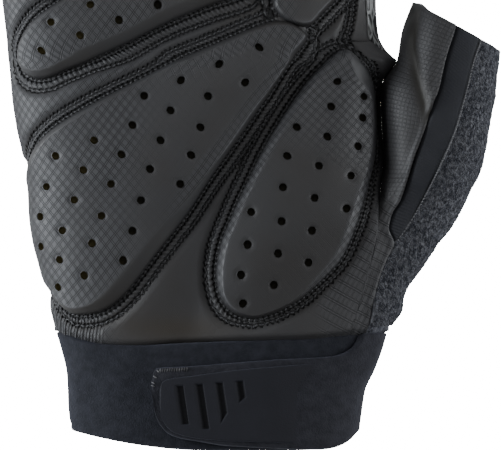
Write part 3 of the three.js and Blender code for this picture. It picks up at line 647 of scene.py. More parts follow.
leatherLook = {
    "colour": (0.043, 0.043, 0.0455), "cellColour": (0.053, 0.0535, 0.0575),
    # ridge is a painted highlight on ridges, needle painted shade in the needle holes.
    "line": (0.006, 0.006, 0.007), "ridge": (0.070, 0.070, 0.075), "needle": (0.003, 0.003, 0.003),
    # Next: a colour of the leather's own, the colour of painted shade, and one for wear with a painted
    # highlight.
    "dull": (0.036, 0.034, 0.033), "paintedShade": (0.007, 0.007, 0.008), "worn": (0.12, 0.122, 0.13),
    # folded: painted shade with a brown tone in the thumb's deepest fold.
    "browned": (0.048, 0.040, 0.030), "folded": (0.017, 0.015, 0.011),
    "shear": 0.6, "shearFrom": 12, "shearEase": 6,
    "cell": (2.45, 2.9),      # width and height of an embossed rhombus, mm
    "between": (0.06, 0.025),                 # edge and middle of the light line in a pair, in rhombi
    "emboss": 0.16, "grain": 0.055, "grooveDepth": 0.30, "needleDepth": 0.4, "wrinkle": 0.12,
    "grainScale": 2600, "cloudScale": 60, "dullScale": 35,
    "gather": 0.95, "gatherDepth": 0.16,      # pitch and depth of the fine puckers at the wrist seam
    "share": {"light": 0.9, "ridge": 0.35, "groove": 0.8},      # how much of each colour is laid on
}
# The rows of stitches round the pads: how far they swing and stray, and where their grooves, needle
# holes and wrinkles begin and are full.
rowLook = {
    "swing": 1.1, "stray": 0.9, "strayScale": 700, "slant": 0.3,
    "groove": (0.66, 0.24), "needle": (0.75, 0.3), "needleBeat": (0.28, 0.12),
    "ridge": (0.35, 0.8), "wrinkleBeat": (0.14, 0.36),
}


def stitchRows(m):
    # 1 in the two grooves that a seam's rows of stitches lie in, 1 at their needle holes, and 1 at the
    # slanting wrinkles of the ridge between them.
    inner, outer, along = m.mark("innerRow"), m.mark("outerRow"), m.mark("alongRow")
    zigzag = m.calc("SUBTRACT", m.calc("PINGPONG", along, 0.5), 0.25)
    zigzag = m.calc("MULTIPLY", zigzag, rowLook["swing"])
    ragged = m.calc("SUBTRACT", m.noise(m.place(), rowLook["strayScale"], 2), 0.5)
    ragged = m.calc("MULTIPLY", ragged, rowLook["stray"])
    first = m.calc("ABSOLUTE", m.calc("ADD", inner, zigzag))
    second = m.calc("ABSOLUTE", m.calc("SUBTRACT", outer, zigzag))
    near = m.calc("ADD", m.calc("MINIMUM", first, second), ragged)
    groove = m.step(near, *rowLook["groove"])
    slant = m.calc("ADD", along, m.calc("MULTIPLY", inner, rowLook["slant"]))
    beat = m.calc("PINGPONG", slant, 0.5)
    needle = m.calc("MULTIPLY", m.step(near, *rowLook["needle"]), m.step(beat, *rowLook["needleBeat"]))
    low, high = rowLook["ridge"]
    ridge = m.calc("MULTIPLY", m.step(inner, low, high), m.step(outer, -low, -high))
    return groove, needle, m.calc("MULTIPLY", ridge, m.step(beat, *rowLook["wrinkleBeat"]))


def leatherMaterial(name, colour, embossing, roughness, lineGap=0.112, lineWidth=0.044):
    # Two sets of paired fine lines cross as a lattice of rhombi: each is the distance to the nearest
    # whole number of u/width + v/height or u/width - v/height. Between the two lines of a pair stands a
    # lighter one, a painted highlight on its ridge. Fine grain and soft clouds go over it.
    look = leatherLook
    m = Maker(name, colour, {"Specular IOR Level": 0.4})
    u, v = m.surface()
    across, along = m.calc("DIVIDE", u, look["cell"][0]), m.calc("DIVIDE", v, look["cell"][1])
    lines, between = [], []
    for operation in ("ADD", "SUBTRACT"):
        off = m.calc("PINGPONG", m.calc(operation, across, along), 0.5)
        pair = m.calc("ABSOLUTE", m.calc("SUBTRACT", off, lineGap))
        lines.append(m.step(pair, lineWidth * 1.3, lineWidth * 0.6))
        between.append(m.step(off, *look["between"]))
    lattice = m.calc("MAXIMUM", *lines)
    place = m.place()
    clouds = m.noise(place, look["cloudScale"], 3)
    strength = m.calc("MULTIPLY", m.step(clouds, 0.3, 0.62, 0.7, 1.0), embossing)
    strength = m.calc("MULTIPLY", strength, m.mark("pressed"))
    pressed = m.calc("MULTIPLY", lattice, strength)
    groove, needle, ridge = stitchRows(m)
    normal = m.bump(pressed, -look["emboss"])
    normal = m.bump(m.noise(place, look["grainScale"], 3, 0.6), look["grain"], normal)
    normal = m.bump(groove, -look["grooveDepth"], normal)
    normal = m.bump(needle, -look["needleDepth"], normal)
    normal = m.bump(ridge, look["wrinkle"], normal)
    folds = m.calc("COSINE", m.calc("MULTIPLY", u, 2 * math.pi / look["gather"]))
    folds = m.calc("MULTIPLY", folds, m.mark("gathered"))
    normal = m.bump(folds, look["gatherDepth"], normal)
    base = m.colours(m.step(m.noise(place, look["dullScale"], 4), 0.35, 0.7), colour, look["dull"])
    base = m.colours(strength, base, look["cellColour"])
    # Painted highlight: the lighter middle line of each pair.
    light = m.calc("MULTIPLY", m.calc("MAXIMUM", *between), strength)
    base = m.colours(m.calc("MULTIPLY", light, look["share"]["light"]), base, look["ridge"])
    # Browned is the leather's own tone; the fold's colour is painted shade with a brown tone; the crest
    # colour is wear and a painted highlight.
    for mark in ("browned", "folded", "worn"):
        base = m.colours(m.mark(mark), base, look[mark])
    base = m.colours(pressed, base, look["line"])
    # Painted shade: darker in and beside the stitch rows, in the crease beside the thumb, at the thumb's
    # opening and upper part, and at the pads' feet.
    base = m.colours(m.mark("clean"), look["paintedShade"], base)
    # Painted highlight on the wrinkles of the ridge between two stitch rows.
    base = m.colours(m.calc("MULTIPLY", ridge, look["share"]["ridge"]), base, look["ridge"])
    # The puckers' crests are lighter: wear and a painted highlight.
    base = m.colours(m.step(folds, 0.0, 3.2), base, look["worn"])
    # Painted shade in the stitch grooves.
    base = m.colours(m.calc("MULTIPLY", groove, look["share"]["groove"]), base, look["paintedShade"])
    # Painted shade in the needle holes.
    base = m.colours(needle, base, look["needle"])
    rough = m.calc("ADD", m.calc("MULTIPLY", clouds, 0.16), roughness - 0.08)
    return m.wear(base, normal, rough)


def threadMaterial(name, dark, light):
    m = Maker(name, dark, {"Sheen Weight": 0.2, "Roughness": 0.48})
    place = m.place()
    twist = m.add("ShaderNodeTexWave", {"Vector": place, "Scale": 900.0, "Distortion": 1.5}, 1)
    return m.wear(m.colours(m.noise(place, 700, 2), dark, light), m.bump(twist, 0.05))


def terryMaterial():
    m = Maker("terryCloth", (0.035, 0.036, 0.043), {
        "Roughness": 0.95, "Sheen Weight": 0.2, "Sheen Roughness": 0.6, "Specular IOR Level": 0.2,
        "Sheen Tint": (0.75, 0.8, 1.0, 1)})
    place = m.place()
    loops = m.cells(place, 1400)
    tufts = m.noise(place, 900, 2)
    # The light tufts are a random tone that also stands in for glints on the loops, as painted highlights.
    base = m.colours(m.step(tufts, 0.34, 0.66), (0.021, 0.022, 0.026), (0.108, 0.110, 0.119))
    normal = m.bump(loops, -0.25)
    return m.wear(base, m.bump(m.noise(place, 1900, 2), 0.12, normal))


def elasticMaterial():
    m = Maker("ribbedElastic", (0.02, 0.021, 0.026), {
        "Roughness": 0.72, "Sheen Weight": 0.12, "Specular IOR Level": 0.3})
    place = m.place()
    base = m.colours(m.noise(place, 220, 4), (0.0125, 0.0138, 0.0185), (0.0225, 0.0238, 0.030))
    return m.wear(base, m.bump(m.cells(place, 1900), -0.05))


def neopreneMaterial(name, dark, light):
    m = Maker(name, dark, {
        "Roughness": 0.82, "Sheen Weight": 0.1, "Sheen Roughness": 0.5, "Specular IOR Level": 0.22,
        "Sheen Tint": (0.72, 0.76, 1.0, 1)})
    place = m.place()
    base = m.colours(m.step(m.noise(place, 420, 4, 0.7), 0.25, 0.75), dark, light)
    normal = m.bump(m.cells(place, 2300), -0.09)
    return m.wear(base, m.bump(m.noise(place, 90, 3), 0.2, normal))


def patchMaterial():
    # Like the strap, but moulded: its slots are shaded.
    m = Maker("mouldedPatch", (0.018, 0.019, 0.025), {
        "Roughness": 0.75, "Sheen Weight": 0.1, "Specular IOR Level": 0.22,
        "Sheen Tint": (0.72, 0.76, 1.0, 1)})
    place = m.place()
    base = m.colours(m.noise(place, 160, 5, 0.6), (0.012, 0.0125, 0.0165), (0.0185, 0.019, 0.025))
    base = m.colours(m.mark("shaded"), base, (0.004, 0.004, 0.005))
    return m.wear(base, m.bump(m.cells(place, 2300), -0.04))


def meshMaterial():
    # Knitted mesh: small round openings in offset rows, darker inside.
    m = Maker("stretchMesh", (0.03, 0.031, 0.035), {
        "Roughness": 0.6, "Sheen Weight": 0.25, "Specular IOR Level": 0.5})
    yarn = m.step(m.cells(m.place(), 900), 0.16, 0.32)
    base = m.colours(yarn, (0.004, 0.004, 0.005), (0.06, 0.061, 0.066))
    return m.wear(base, m.bump(yarn, 0.18))


def trimMaterial():
    # Knitted edge beside the forefinger: long bright yarns over dark openings, partly a light print and
    # partly painted glints.
    m = Maker("meshPrintAndGlints", (0.03, 0.031, 0.035), {"Roughness": 0.35, "Specular IOR Level": 0.7})
    place = m.add("ShaderNodeMapping", {"Vector": m.place(), "Scale": (1.0, 0.3, 1.0)}, 0)
    yarn = m.step(m.cells(place, 620, "DISTANCE_TO_EDGE"), 0.16, 0.05)
    # The light lines are partly print and partly painted glints.
    base = m.colours(yarn, (0.010, 0.010, 0.011), (0.26, 0.27, 0.27))
    return m.wear(base, m.bump(yarn, 0.3))


def foamMaterial():
    # The pads' lining, seen in their holes: painted dark as shade where no light comes in.
    m = Maker("padLining", (0.035, 0.03, 0.015), {"Roughness": 0.9})
    place = m.place()
    base = m.colours(m.noise(place, 900, 2), (0.045, 0.038, 0.016), (0.15, 0.125, 0.05))
    # Painted shade in the holes where no light comes in.
    base = m.colours(m.mark("clean"), (0.003, 0.003, 0.0025), base)
    return m.wear(base, m.bump(m.noise(place, 1500, 2), 0.1))


embossed = leatherMaterial("embossedLeather", leatherLook["colour"], 1.0, 0.5)
padLeather = leatherMaterial("padLeather", (0.0385, 0.0385, 0.0405), 0.95, 0.46)
thumbLeather = leatherMaterial("thumbLeather", leatherLook["colour"], 1.0, 0.5, 0.0, 0.13)
thread = threadMaterial("thread", (0.010, 0.010, 0.012), (0.040, 0.040, 0.045))
lightThread = threadMaterial("lightThread", (0.07, 0.072, 0.08), (0.14, 0.142, 0.15))
terry = terryMaterial()
elastic = elasticMaterial()
neoprene = neopreneMaterial("neoprene", (0.009, 0.0103, 0.0145), (0.021, 0.0225, 0.0305))
strapCloth = neopreneMaterial("strapNeoprene", (0.013, 0.0135, 0.0178), (0.0265, 0.027, 0.0345))
rubberPatch = patchMaterial()
stretchMesh = meshMaterial()
meshPrintAndGlints = trimMaterial()
foam = foamMaterial()
print("materials made")


# Pads as outlines seen from above, clockwise; a place left of the hand's outline lies round its side.
# Holes come in rows: first place, how many, the step to the next, and how much the steps bend. Slopes
# are places of the outline and how wide the pad's sloping side is there, and roundness is how soon it
# turns over (1 is a straight slope). Two rows of stitches run round each pad: rowGap is the least and
# the most between them, and they are furthest apart where the pad faces rowFacing. grain stretches
# the lattice along the hand.
pads = {
    "pad_heel": {
        "node": "hypothenar_pad", "height": 2.2, "roundness": 1.7,
        "slopes": [
            (-57, 70, 2.2), (-51.5, 83, 1.8), (-41.8, 89.4, 1.5), (-7, 106.3, 1.4), (12, 111, 1.3),
            (7.6, 96.3, 1.4), (-6.6, 75.7, 1.6), (-13, 66.2, 2.4), (-20.3, 56, 3.5), (-32, 41.1, 3.9),
            (-38, 36.5, 3.0), (-42.3, 35.5, 2.0), (-50.6, 41, 1.6)],
        "rowGap": (2.0, 2.4), "rowFacing": (0.8, -0.6), "grain": 1.0,
        "outline": [
            (-57.7, 67), (-57.9, 72.5), (-56.1, 78.2), (-51.5, 83.3), (-41.8, 89.4), (-27.7, 96.7),
            (-19.4, 101.0), (-7, 106.3), (1.5, 109.9), (6.5, 111.4), (10.5, 111.0), (14.2, 108.6),
            (14.6, 106.4), (11.7, 102.4), (7.6, 96.3), (4.7, 91.9), (1.3, 87.1), (-3.3, 80.3), (-6.6, 75.7),
            (-9.9, 71.0), (-13.0, 66.2), (-16.0, 61.6), (-20.3, 56.0), (-24.4, 50.9), (-28.3, 45.7),
            (-32, 41.1), (-35.5, 37.9), (-38.8, 36.1), (-42.3, 35.4), (-45.7, 35.4), (-48.6, 37.2),
            (-51.4, 41.0), (-54.4, 46), (-56.1, 53), (-57.4, 61)],
        "holes": [
            ((2.4, 104.5), 4, (-10.6, -4.4), (0.22, 0.07)),
            ((-1.2, 95.4), 6, (-9.6, -3.5), (-0.05, -0.06)),
            ((-12.8, 83.8), 5, (-10.5, -3.2), (0.12, -0.16)),
            ((-15.2, 76.6), 5, (-11.0, -3.5), (0.29, -0.12)),
            ((-18.0, 69.1), 4, (-10.3, -4.3), (0.02, 0.1)),
            ((-54.4, 52.9), 1, (0, 0), (0, 0)),
            ((-30.5, 57.0), 3, (-11.5, -2.65), (1.0, -0.55)),
            ((-32.9, 49.3), 3, (-11.8, -4.25), (1.65, 0.4))],
    },
    "pad_thumb": {
        "node": "thenar_pad", "height": 2.2, "roundness": 1.25,
        "slopes": [
            (-8.8, 45, 2.4), (2.5, 76.2, 2.2), (15.7, 96.6, 1.9), (24.7, 104.2, 2.2), (30.3, 99.1, 3.6),
            (32.9, 85, 3.0), (31.5, 72, 2.5), (24.2, 50.6, 2.3), (17.5, 43.2, 1.7), (10.6, 37.8, 1.0),
            (0.8, 34.3, 0.9), (-6.6, 37.9, 1.4)],
        "rowGap": (1.5, 2.4), "rowFacing": (-1.0, 0.0), "grain": 1.14,
        "outline": [
            (0.8, 34.3), (-2.2, 34.8), (-4.6, 35.9), (-6.6, 37.9), (-8.0, 40.6), (-8.8, 45), (-8.5, 49.5),
            (-7.4, 54.4), (-5.6, 58.8), (-3.2, 64.5), (-0.4, 70.3), (2.5, 76.2), (5.9, 82.3), (9.2, 87.6),
            (12.3, 92.2), (15.7, 96.6), (19.5, 100.6), (22.3, 103.3), (24.7, 104.2), (27.6, 102.4),
            (30.3, 99.1), (32.0, 95.3), (32.7, 90), (32.9, 82), (32.2, 74.6), (30.2, 67.1), (27.6, 58.5),
            (24.2, 50.6), (20.9, 46.5), (17.5, 43.2), (13.9, 40.0), (10.6, 37.8), (6.9, 36), (3.6, 34.8)],
        "holes": [
            ((22.7, 95.7), 2, (7.0, -3.85), (0, 0)), ((21.1, 89.2), 2, (8.2, -2.9), (0, 0)),
            ((12.1, 83.9), 3, (8.0, -2.5), (0, 0)), ((9.6, 76.4), 3, (8.35, -2.55), (0, 0)),
            ((8.5, 68.3), 3, (8.3, -2.75), (0, 0)), ((0.2, 61.9), 3, (7.95, -2.4), (0, 0)),
            ((-0.7, 53.5), 3, (7.95, -2.35), (0, 0)), ((-2.4, 45.6), 2, (8.6, -2.6), (0, 0)),
            ((-1.9, 38.2), 1, (0, 0), (0, 0))],
    },
    "pad_knuckle": {
        "node": "knuckle_pad", "height": 2.1, "roundness": 1.7,
        "slopes": [
            (-51.3, 115.4, 1.6), (-20.8, 123.9, 1.6), (0.7, 120.4, 1.5), (-9, 115.9, 2.4),
            (-21.6, 110.8, 3.2), (-43.2, 100.5, 3.2), (-55.7, 96.6, 2.2), (-60.2, 101.2, 1.5)],
        "rowGap": (2.2, 2.7), "rowFacing": (0.4, -0.9), "grain": 1.0,
        "outline": [
            (-51.3, 115.4), (-44.2, 119.4), (-33.8, 122.4), (-20.8, 123.9), (-9, 123.9), (-1.5, 122.8),
            (0.7, 120.4), (-2.0, 118.2), (-9, 115.9), (-14, 114.0), (-21.6, 110.8), (-31.4, 105.8),
            (-38.9, 102.4), (-43.2, 100.5), (-47.7, 98.8), (-51.8, 97.0), (-55.7, 96.6), (-58.6, 98.0),
            (-60.2, 101.2), (-60.1, 104.8), (-58.9, 107.9), (-55.9, 111.9)],
        "holes": [((-54.2, 103.7), 5, (10.1, 3.95), (0, 0)), ((-51.7, 111.1), 3, (10.3, 4.5), (0, 0))],
    },
    "pad_forefinger": {
        "node": "forefinger_pad", "height": 1.7, "roundness": 1.7,
        "slopes": [
            (13.4, 109.9, 1.0), (8.2, 112.4, 1.0), (6.4, 119, 1.6), (21, 124.4, 1.5), (22.6, 117.2, 1.4)],
        "rowGap": (2.1, 2.5), "rowFacing": (0.8, -0.6), "grain": 1.0,
        "outline": [
            (13.4, 109.9), (10.6, 110.7), (8.2, 112.4), (6.2, 115.2), (6.4, 119.0), (9.4, 122.2),
            (14, 123.9), (21, 124.4), (25.2, 123.0), (25.2, 120.4), (22.6, 117.2), (18.4, 112.9),
            (16.0, 110.4)],
        "holes": [],
    },
}
# One more pair of rows runs on from the tip of the thumb's pad to the forefinger.
loneSeam = {
    "path": [(24.3, 106.2), (25.6, 109.2), (26.4, 113.4), (26.9, 118.5), (27.3, 127)], "gap": 1.7,
}
# near is how far the inner row lies from the pad, clear how far a row keeps from another pad.
stitching = {"near": 0.55, "pitch": 1.3, "groove": 0.55, "depth": 0.45, "ridge": 0.12, "clear": 1.15}
hole = {"radius": 1.02, "rim": 0.22, "rimDepth": 0.25, "sides": 16, "depth": 1.6}
padShape = {
    "step": 0.4, "stepWidth": 0.3,                    # short upright step at the outline
    "dome": 0.45,                                     # how far the middle stands over the slope
    "lip": 0.14, "lipWidth": 0.35, "sharp": 1.25,     # crest of a slope, and its roundness there
    "sideShare": 0.35, "sideAngles": (-0.1, 0.45),    # part of the height left round the hand's side
    "seenAt": 0.2,                                    # height at which its outline is seen
    "under": 0.9, "net": 0.85, "underNet": 3.0,       # how deep its underside lies, spacing of points
    "rings": (0.06, 0.15, 0.3, 0.5, 0.7, 0.83, 0.92, 1.0, 1.08, 1.17, 1.28),     # in slope widths
    "steps": 260,
}


def laySeam(line, out, gap):
    # A seam is a line on the flat leather: its inner row of stitches lies just outside it and the
    # outer one a gap further. Lengths along it are counted in stitches.
    total = lengthsAlong(line)[-1]
    count = round(total / stitching["pitch"])
    places = np.linspace(0, total, count + 1)
    ends = readAlong(line, np.hstack([line, out, gap[:, None]]), places)
    rows = [ends[:, :2] + unit(ends[:, 2:4]) * (stitching["near"] + ends[:, 4:] * k) for k in (0, 1)]
    return {"line": line, "gap": gap, "stitch": total / count, "rows": rows}


def slopeWidth(one, along):
    # Width of the pad's sloping side at lengths along its outline.
    return np.interp(along, one["slopeAt"], one["slopeWide"], period=one["around"])


def padInside(one, flat):
    # How far inside the pad's outline each place is, how wide the slope is there, and how sharp its
    # crest: only a narrow slope that faces the wider seam has one.
    off, along, side = nearestOn(closed(one["flat"]), flat)
    wide = slopeWidth(one, along)
    facing = np.interp(along, lengthsAlong(closed(one["flat"])), closed(one["facing"]))
    return np.where(side > 0, -off, off), wide, facing * (1 - smooth(1.6, 2.2, wide))


def padLift(one, flat, angle):
    # A short step at the outline, a slope that rounds over inward, a small lip at a sharp crest and a
    # low dome. Round the hand's side the pad is thinner.
    inside, wide, crest = padInside(one, flat)
    inside = np.maximum(0, inside)
    slope = 1 - (1 - np.minimum(inside / wide, 1)) ** mix(one["roundness"], padShape["sharp"], crest)
    step, dome = padShape["step"], padShape["dome"]
    lift = step * smooth(0, padShape["stepWidth"], inside) + (one["height"] - step) * slope
    lift = lift + dome * smooth(0.4, 6, inside / 2.4)
    lift = lift + padShape["lip"] * crest * bell(inside - wide, padShape["lipWidth"])
    return lift * mix(padShape["sideShare"], 1, smooth(*padShape["sideAngles"], angle))


for name, one in pads.items():
    outline = closedCurve(one["outline"], padShape["steps"])
    one["flat"] = flatPlace(outline[:, 0], outline[:, 1], lambda flat, angle: padShape["seenAt"])
    slopes = np.array(one["slopes"])
    _, one["slopeAt"], _ = nearestOn(closed(one["flat"]), flatPlace(slopes[:, 0], slopes[:, 1]))
    one["slopeWide"], one["around"] = slopes[:, 2], lengthsAlong(closed(one["flat"]))[-1]
    out = outward(one["flat"])
    one["facing"] = smooth(0.1, 0.8, out @ np.array(one["rowFacing"]))
    gap = mix(*one["rowGap"], one["facing"])
    one["seam"] = laySeam(closed(one["flat"]), closed(out), closed(gap))
    spots = []
    for start, count, step, bend in one["holes"]:
        k = np.arange(count)[:, None]
        spots.append(np.array(start) + k * np.array(step) + k ** 2 * np.array(bend))
    spots = np.vstack(spots) if spots else np.empty((0, 2))
    liftAt = lambda flat, angle, one=one: padLift(one, flat, angle) - 0.1
    one["spots"] = flatPlace(spots[:, 0], spots[:, 1], liftAt) if len(spots) else spots
path = np.array(loneSeam["path"], float)
path = equalSteps(flatPlace(path[:, 0], path[:, 1]), 40)
ahead = unit(np.gradient(path, axis=0))
across = np.stack([-ahead[:, 1], ahead[:, 0]], -1)
path = path - across * (loneSeam["gap"] / 2 + stitching["near"])
loneSeam["seam"] = laySeam(path, across, np.full(len(path), loneSeam["gap"]))
seams = [one["seam"] for one in (*pads.values(), loneSeam)]


def seamMarks(flat):
    # For each place on the flat leather: how far past the inner and the outer row of the nearest seam
    # it lies, and how many stitches along them. A seam stops where another pad is close.
    inner, outer, along = (np.full(flat.shape[:-1], value) for value in (9.0, 9.0, 0.0))
    found = [nearestOn(seam["line"], flat) for seam in seams]
    away = [np.where(side > 0, off, -off) for off, _, side in found]
    for k, seam in enumerate(seams):
        first = away[k] - stitching["near"]
        second = first - np.interp(found[k][1], lengthsAlong(seam["line"]), seam["gap"])
        nearer = np.minimum(np.abs(first), np.abs(second)) < np.minimum(np.abs(inner), np.abs(outer))
        for j in range(len(pads)):
            if j != k:
                nearer &= away[j] > stitching["clear"]
        inner, outer = np.where(nearer, first, inner), np.where(nearer, second, outer)
        along = np.where(nearer, found[k][1] / seam["stitch"], along)
    return inner, outer, along


palm = {
    "wall": 1.4, "round": 0.3, "columns": 45, "rows": 180, "fingerRows": 24,
    "thumbColumns": 36, "thumbRows": 108,
    "littleSeam": (0.012, 0.006),     # how far it comes round the little finger's side, hand and finger
    "forefingerSeam": 0.974,          # where it stops on the forefinger's side
    "trough": 0.6, "underPad": 0.4,   # how far it is pressed down round a pad, and further under it
    "soft": ((0.22, 11, 3), (0.10, 4, 4)),
    "thumbSquare": 1.18,              # pitch of the squares on the thumb
    "squareFrom": 66,                 # row where they begin
    "puckers": {"pitch": 1.9, "depth": 0.14, "to": -36, "low": 34, "high": 42},
}


# How far the upper pieces go down into the cuff, and how far their sides are drawn back from it.
seamTuck = {"rows": 1.3, "depth": 2.4, "back": 0.75, "backRows": 6}


def tucked(grid, row, top):
    # Sinks the lower end of a piece; top is 1 over the palm and 0 at the sides, where the end is drawn
    # back to the seam instead.
    near = 1 - smooth(shape["wrist"] - 1.2, shape["wrist"] + 1.0, row)
    grid[..., 2] -= seamTuck["depth"] * top * near
    level = smooth(shape["wrist"] - seamTuck["rows"], shape["wrist"] + seamTuck["backRows"], row)
    grid[..., 1] += seamTuck["back"] * (1 - top) * (1 - level)
    return grid


def pieceRows(one):
    # Rows of a piece from the wrist seam to the fingers' openings, and the same up to the crotches.
    low = np.linspace(shape["wrist"] - seamTuck["rows"], shape["crotch"], one["rows"])
    high = np.linspace(shape["crotch"], shape["tip"], one["fingerRows"])[1:]
    rows = np.concatenate([low, high])[:, None]
    return rows, np.minimum(rows, shape["crotch"])


def littleSeam(row):
    return mix(*palm["littleSeam"], smooth(100, shape["crotch"], row))


def forefingerSeam(row):
    return mix(1, palm["forefingerSeam"], smooth(shape["web"], 107.5, row))


def leatherGrain(s, row):
    # Row of the lattice on the flat leather: it shears over toward the thumb.
    bend, ease = np.maximum(s - leatherLook["shearFrom"], 0), leatherLook["shearEase"]
    return row - leatherLook["shear"] * (bend - ease * (1 - np.exp(-bend / ease)))


def gathered(x, row):
    # Where the leather is gathered into the wrist seam: beside the little finger's side.
    one = palm["puckers"]
    return (1 - smooth(one["to"] - 9, one["to"], x)) * (1 - smooth(one["low"], one["high"], row))


def palmRelief(angle, row):
    # Height of the sewn leather over the smooth hand: a trough with two stitch grooves round each pad
    # and a ridge between them, soft hills, and puckers where it is gathered into the wrist seam.
    angle, row = np.broadcast_arrays(np.asarray(angle, float), np.asarray(row, float))
    flat = np.stack([handSkin.across(angle, row), row], -1)
    marks = inner, outer, _ = seamMarks(flat)
    s = flat[..., 0]
    relief = hills(s, flat[..., 1], palm["soft"])
    relief = relief * smooth(-1, 4, np.where(outer < 8, outer, 8))
    relief = relief - palm["trough"] * smooth(-1.3, 0, inner) * (1 - smooth(0.3, 2.3, outer))
    relief = relief - palm["underPad"] * smooth(-0.5, -1.5, inner)
    both = bell(inner, stitching["groove"]) + bell(outer, stitching["groove"])
    relief = relief - stitching["depth"] * both
    relief = relief + stitching["ridge"] * smooth(0.3, 0.9, inner) * smooth(-0.3, -0.9, outer)
    x = mix(handLeft(row), handRight(row), shareOf(np.abs(angle)))
    wave = np.cos(2 * math.pi * s / palm["puckers"]["pitch"])
    relief = relief + gathered(x, row) * palm["puckers"]["depth"] * wave
    return relief * (1 - bell(angle - math.pi, 0.05)) * smooth(-0.3, 0.1, angle), marks


# The lattice is plain toward the little finger. Past a slanting band it has lost a share of its
# strength, one on the palm and one on the pads. Beside the thumb it is plain again.
fading = {
    "lean": 0.12, "level": 60,
    "palm": (-38, -27), "palmFall": 0.88, "pads": (-36, -24), "padsFall": 0.78,
    "thumb": (15, 21), "thumbTo": (66, 90), "thumbMost": 0.9,
}
# A browned place above the middle of the cuff, the crease beside the thumb, painted dark as shadow, and
# how much darker the leather is painted in and beside the stitches, as shade.
browned = {"at": (-19.5, 31.5), "reach": (13, 3.5), "most": 0.7}
crease = {"path": [(33.3, 97), (33.4, 87), (33.8, 80), (34, 73), (34, 66)], "width": 1.3, "most": 0.9}
stitchShade = {"most": 0.4, "from": (-1.2, 0), "to": (0.2, 1.4)}


def faded(x, y, where):
    # How plainly the lattice shows on the palm or on the pads.
    across = x - fading["lean"] * (y - fading["level"])
    return 1 - fading[where + "Fall"] * smooth(*fading[where], across)


def leatherMarks(x, y, rows):
    inner, outer, along = rows
    besideThumb = fading["thumbMost"] * smooth(*fading["thumb"], x) * (1 - smooth(*fading["thumbTo"], y))
    plain = np.maximum(faded(x, y, "palm"), besideThumb)
    off = (np.stack([x, y], -1) - browned["at"]) / browned["reach"]
    off = np.hypot(off[..., 0], off[..., 1])
    # Painted shadow in the crease beside the thumb and painted shade in and beside the stitch rows.
    dark = bell(distanceToPath(crease["path"], x, y), crease["width"])
    clean = 1 - stitchShade["most"] * smooth(*stitchShade["from"], inner) * (1 - smooth(*stitchShade["to"], outer))
    return {"pressed": plain * smooth(0.6, 1.8, np.abs(outer)),
            "clean": clean * (1 - crease["most"] * dark),
            "browned": browned["most"] * bell(off, 1), "gathered": gathered(x, y),
            "innerRow": inner, "outerRow": outer, "alongRow": along}


def makePalm():
    # Four finger panels side by side, the round side of the little finger and the thumb's inner face.
    rows, handRows = pieceRows(palm)
    fade = 1 - smooth(shape["crotch"] - 1, shape["crotch"] + 3, rows)

    def panel(number, share, angle, palmSide, top, edge=None):
        # One patch over the sewn hand; edge is the neighbour's edge that its last column lies on.
        _, _, _, out = handSkin.axes(angle, handRows)
        lift, marks = palmRelief(angle, handRows)
        grid = fingerPoint(number, share, rows, palmSide) + out * (lift * fade)[..., None]
        grid = tucked(grid, rows, top)
        if edge is not None:
            grid[:, -1] = edge
        s = handSkin.across(angle, handRows)
        flat = np.stack([s, leatherGrain(s, rows)], -1)
        return grid, flat, 0, leatherMarks(grid[..., 0], grid[..., 1], marks)

    patches = []
    place = np.linspace(0, 1, palm["columns"])[None, :]
    for k in range(4):
        start, end = fingers["from"][k], fingers["to"][k]
        if k == 3:
            end = forefingerSeam(handRows)
        share = mix(start, end, mix(shareOf(math.pi * place), place, 0.55)) + 0 * rows
        angle = angleOf(share)
        patches.append(panel(k, share, angle, True, smooth(0.1, 0.7, angle)))
    share = littleSeam(handRows) * np.linspace(-1, 0, 7)[None, :] ** 2
    patches.append(panel(0, share, -angleOf(share), False, 0, patches[0][0][:, 0]))

    row = np.linspace(shape["wrist"] - seamTuck["rows"], shape["thumbTip"], palm["thumbRows"])[:, None]
    angle = np.linspace(0, 1, palm["thumbColumns"])[None, :] * angleOf(seamShare(leatherEdge, row))
    point, _, _, out = thumbSkin.axes(angle, row)
    lift, marks = thumbRelief(angle, row)
    grid = tucked(point + out * lift[..., None], row, 1)
    s, r = thumbSkin.across(angle, row), row + 0 * angle
    square = np.array(leatherLook["cell"]) / 2 * np.stack([s - r, s + r], -1) / palm["thumbSquare"]
    onward = s + handSkin.across(math.pi, row)
    onward = np.stack([onward, leatherGrain(onward, r)], -1)
    split = int(np.searchsorted(row[:, 0], palm["squareFrom"]))
    for part, flat, number in ((slice(0, split + 1), onward, 0), (slice(split, None), square, 1)):
        own = {mark: value[part] for mark, value in marks.items()}
        patches.append((grid[part], flat[part], number, own))
    piece = joined("leather_palm", patches)
    thicken(piece, palm)
    finishPiece(piece, "embossed_leather", [embossed, thumbLeather], "palm_leather")


thumbSkin = Skin(around(thumbPoint), (-0.3, 2 * math.pi + 0.1), (shape["wrist"], shape["thumbTip"]), 0)


thumbLook = {
    "soft": ((0.35, 9, 5),),
    "edge": {"rise": 0.5, "at": 0.5, "width": 0.8},              # raised cut edge
    "corner": {"at": (39.8, 114.5), "reach": 4.5, "dark": 0.6},  # smooth corner at the opening, painted dark as shade
    "pressed": (0.95, 0.6), "worn": (0.55, 0.4),                 # near the wrist, and above
    # Painted shade: how dark the crease and the deepest fold are painted, and how much darker the upper
    # thumb is painted.
    "crease": 0.8, "folded": 0.9, "foldFull": 0.75, "above": 0.16,
}


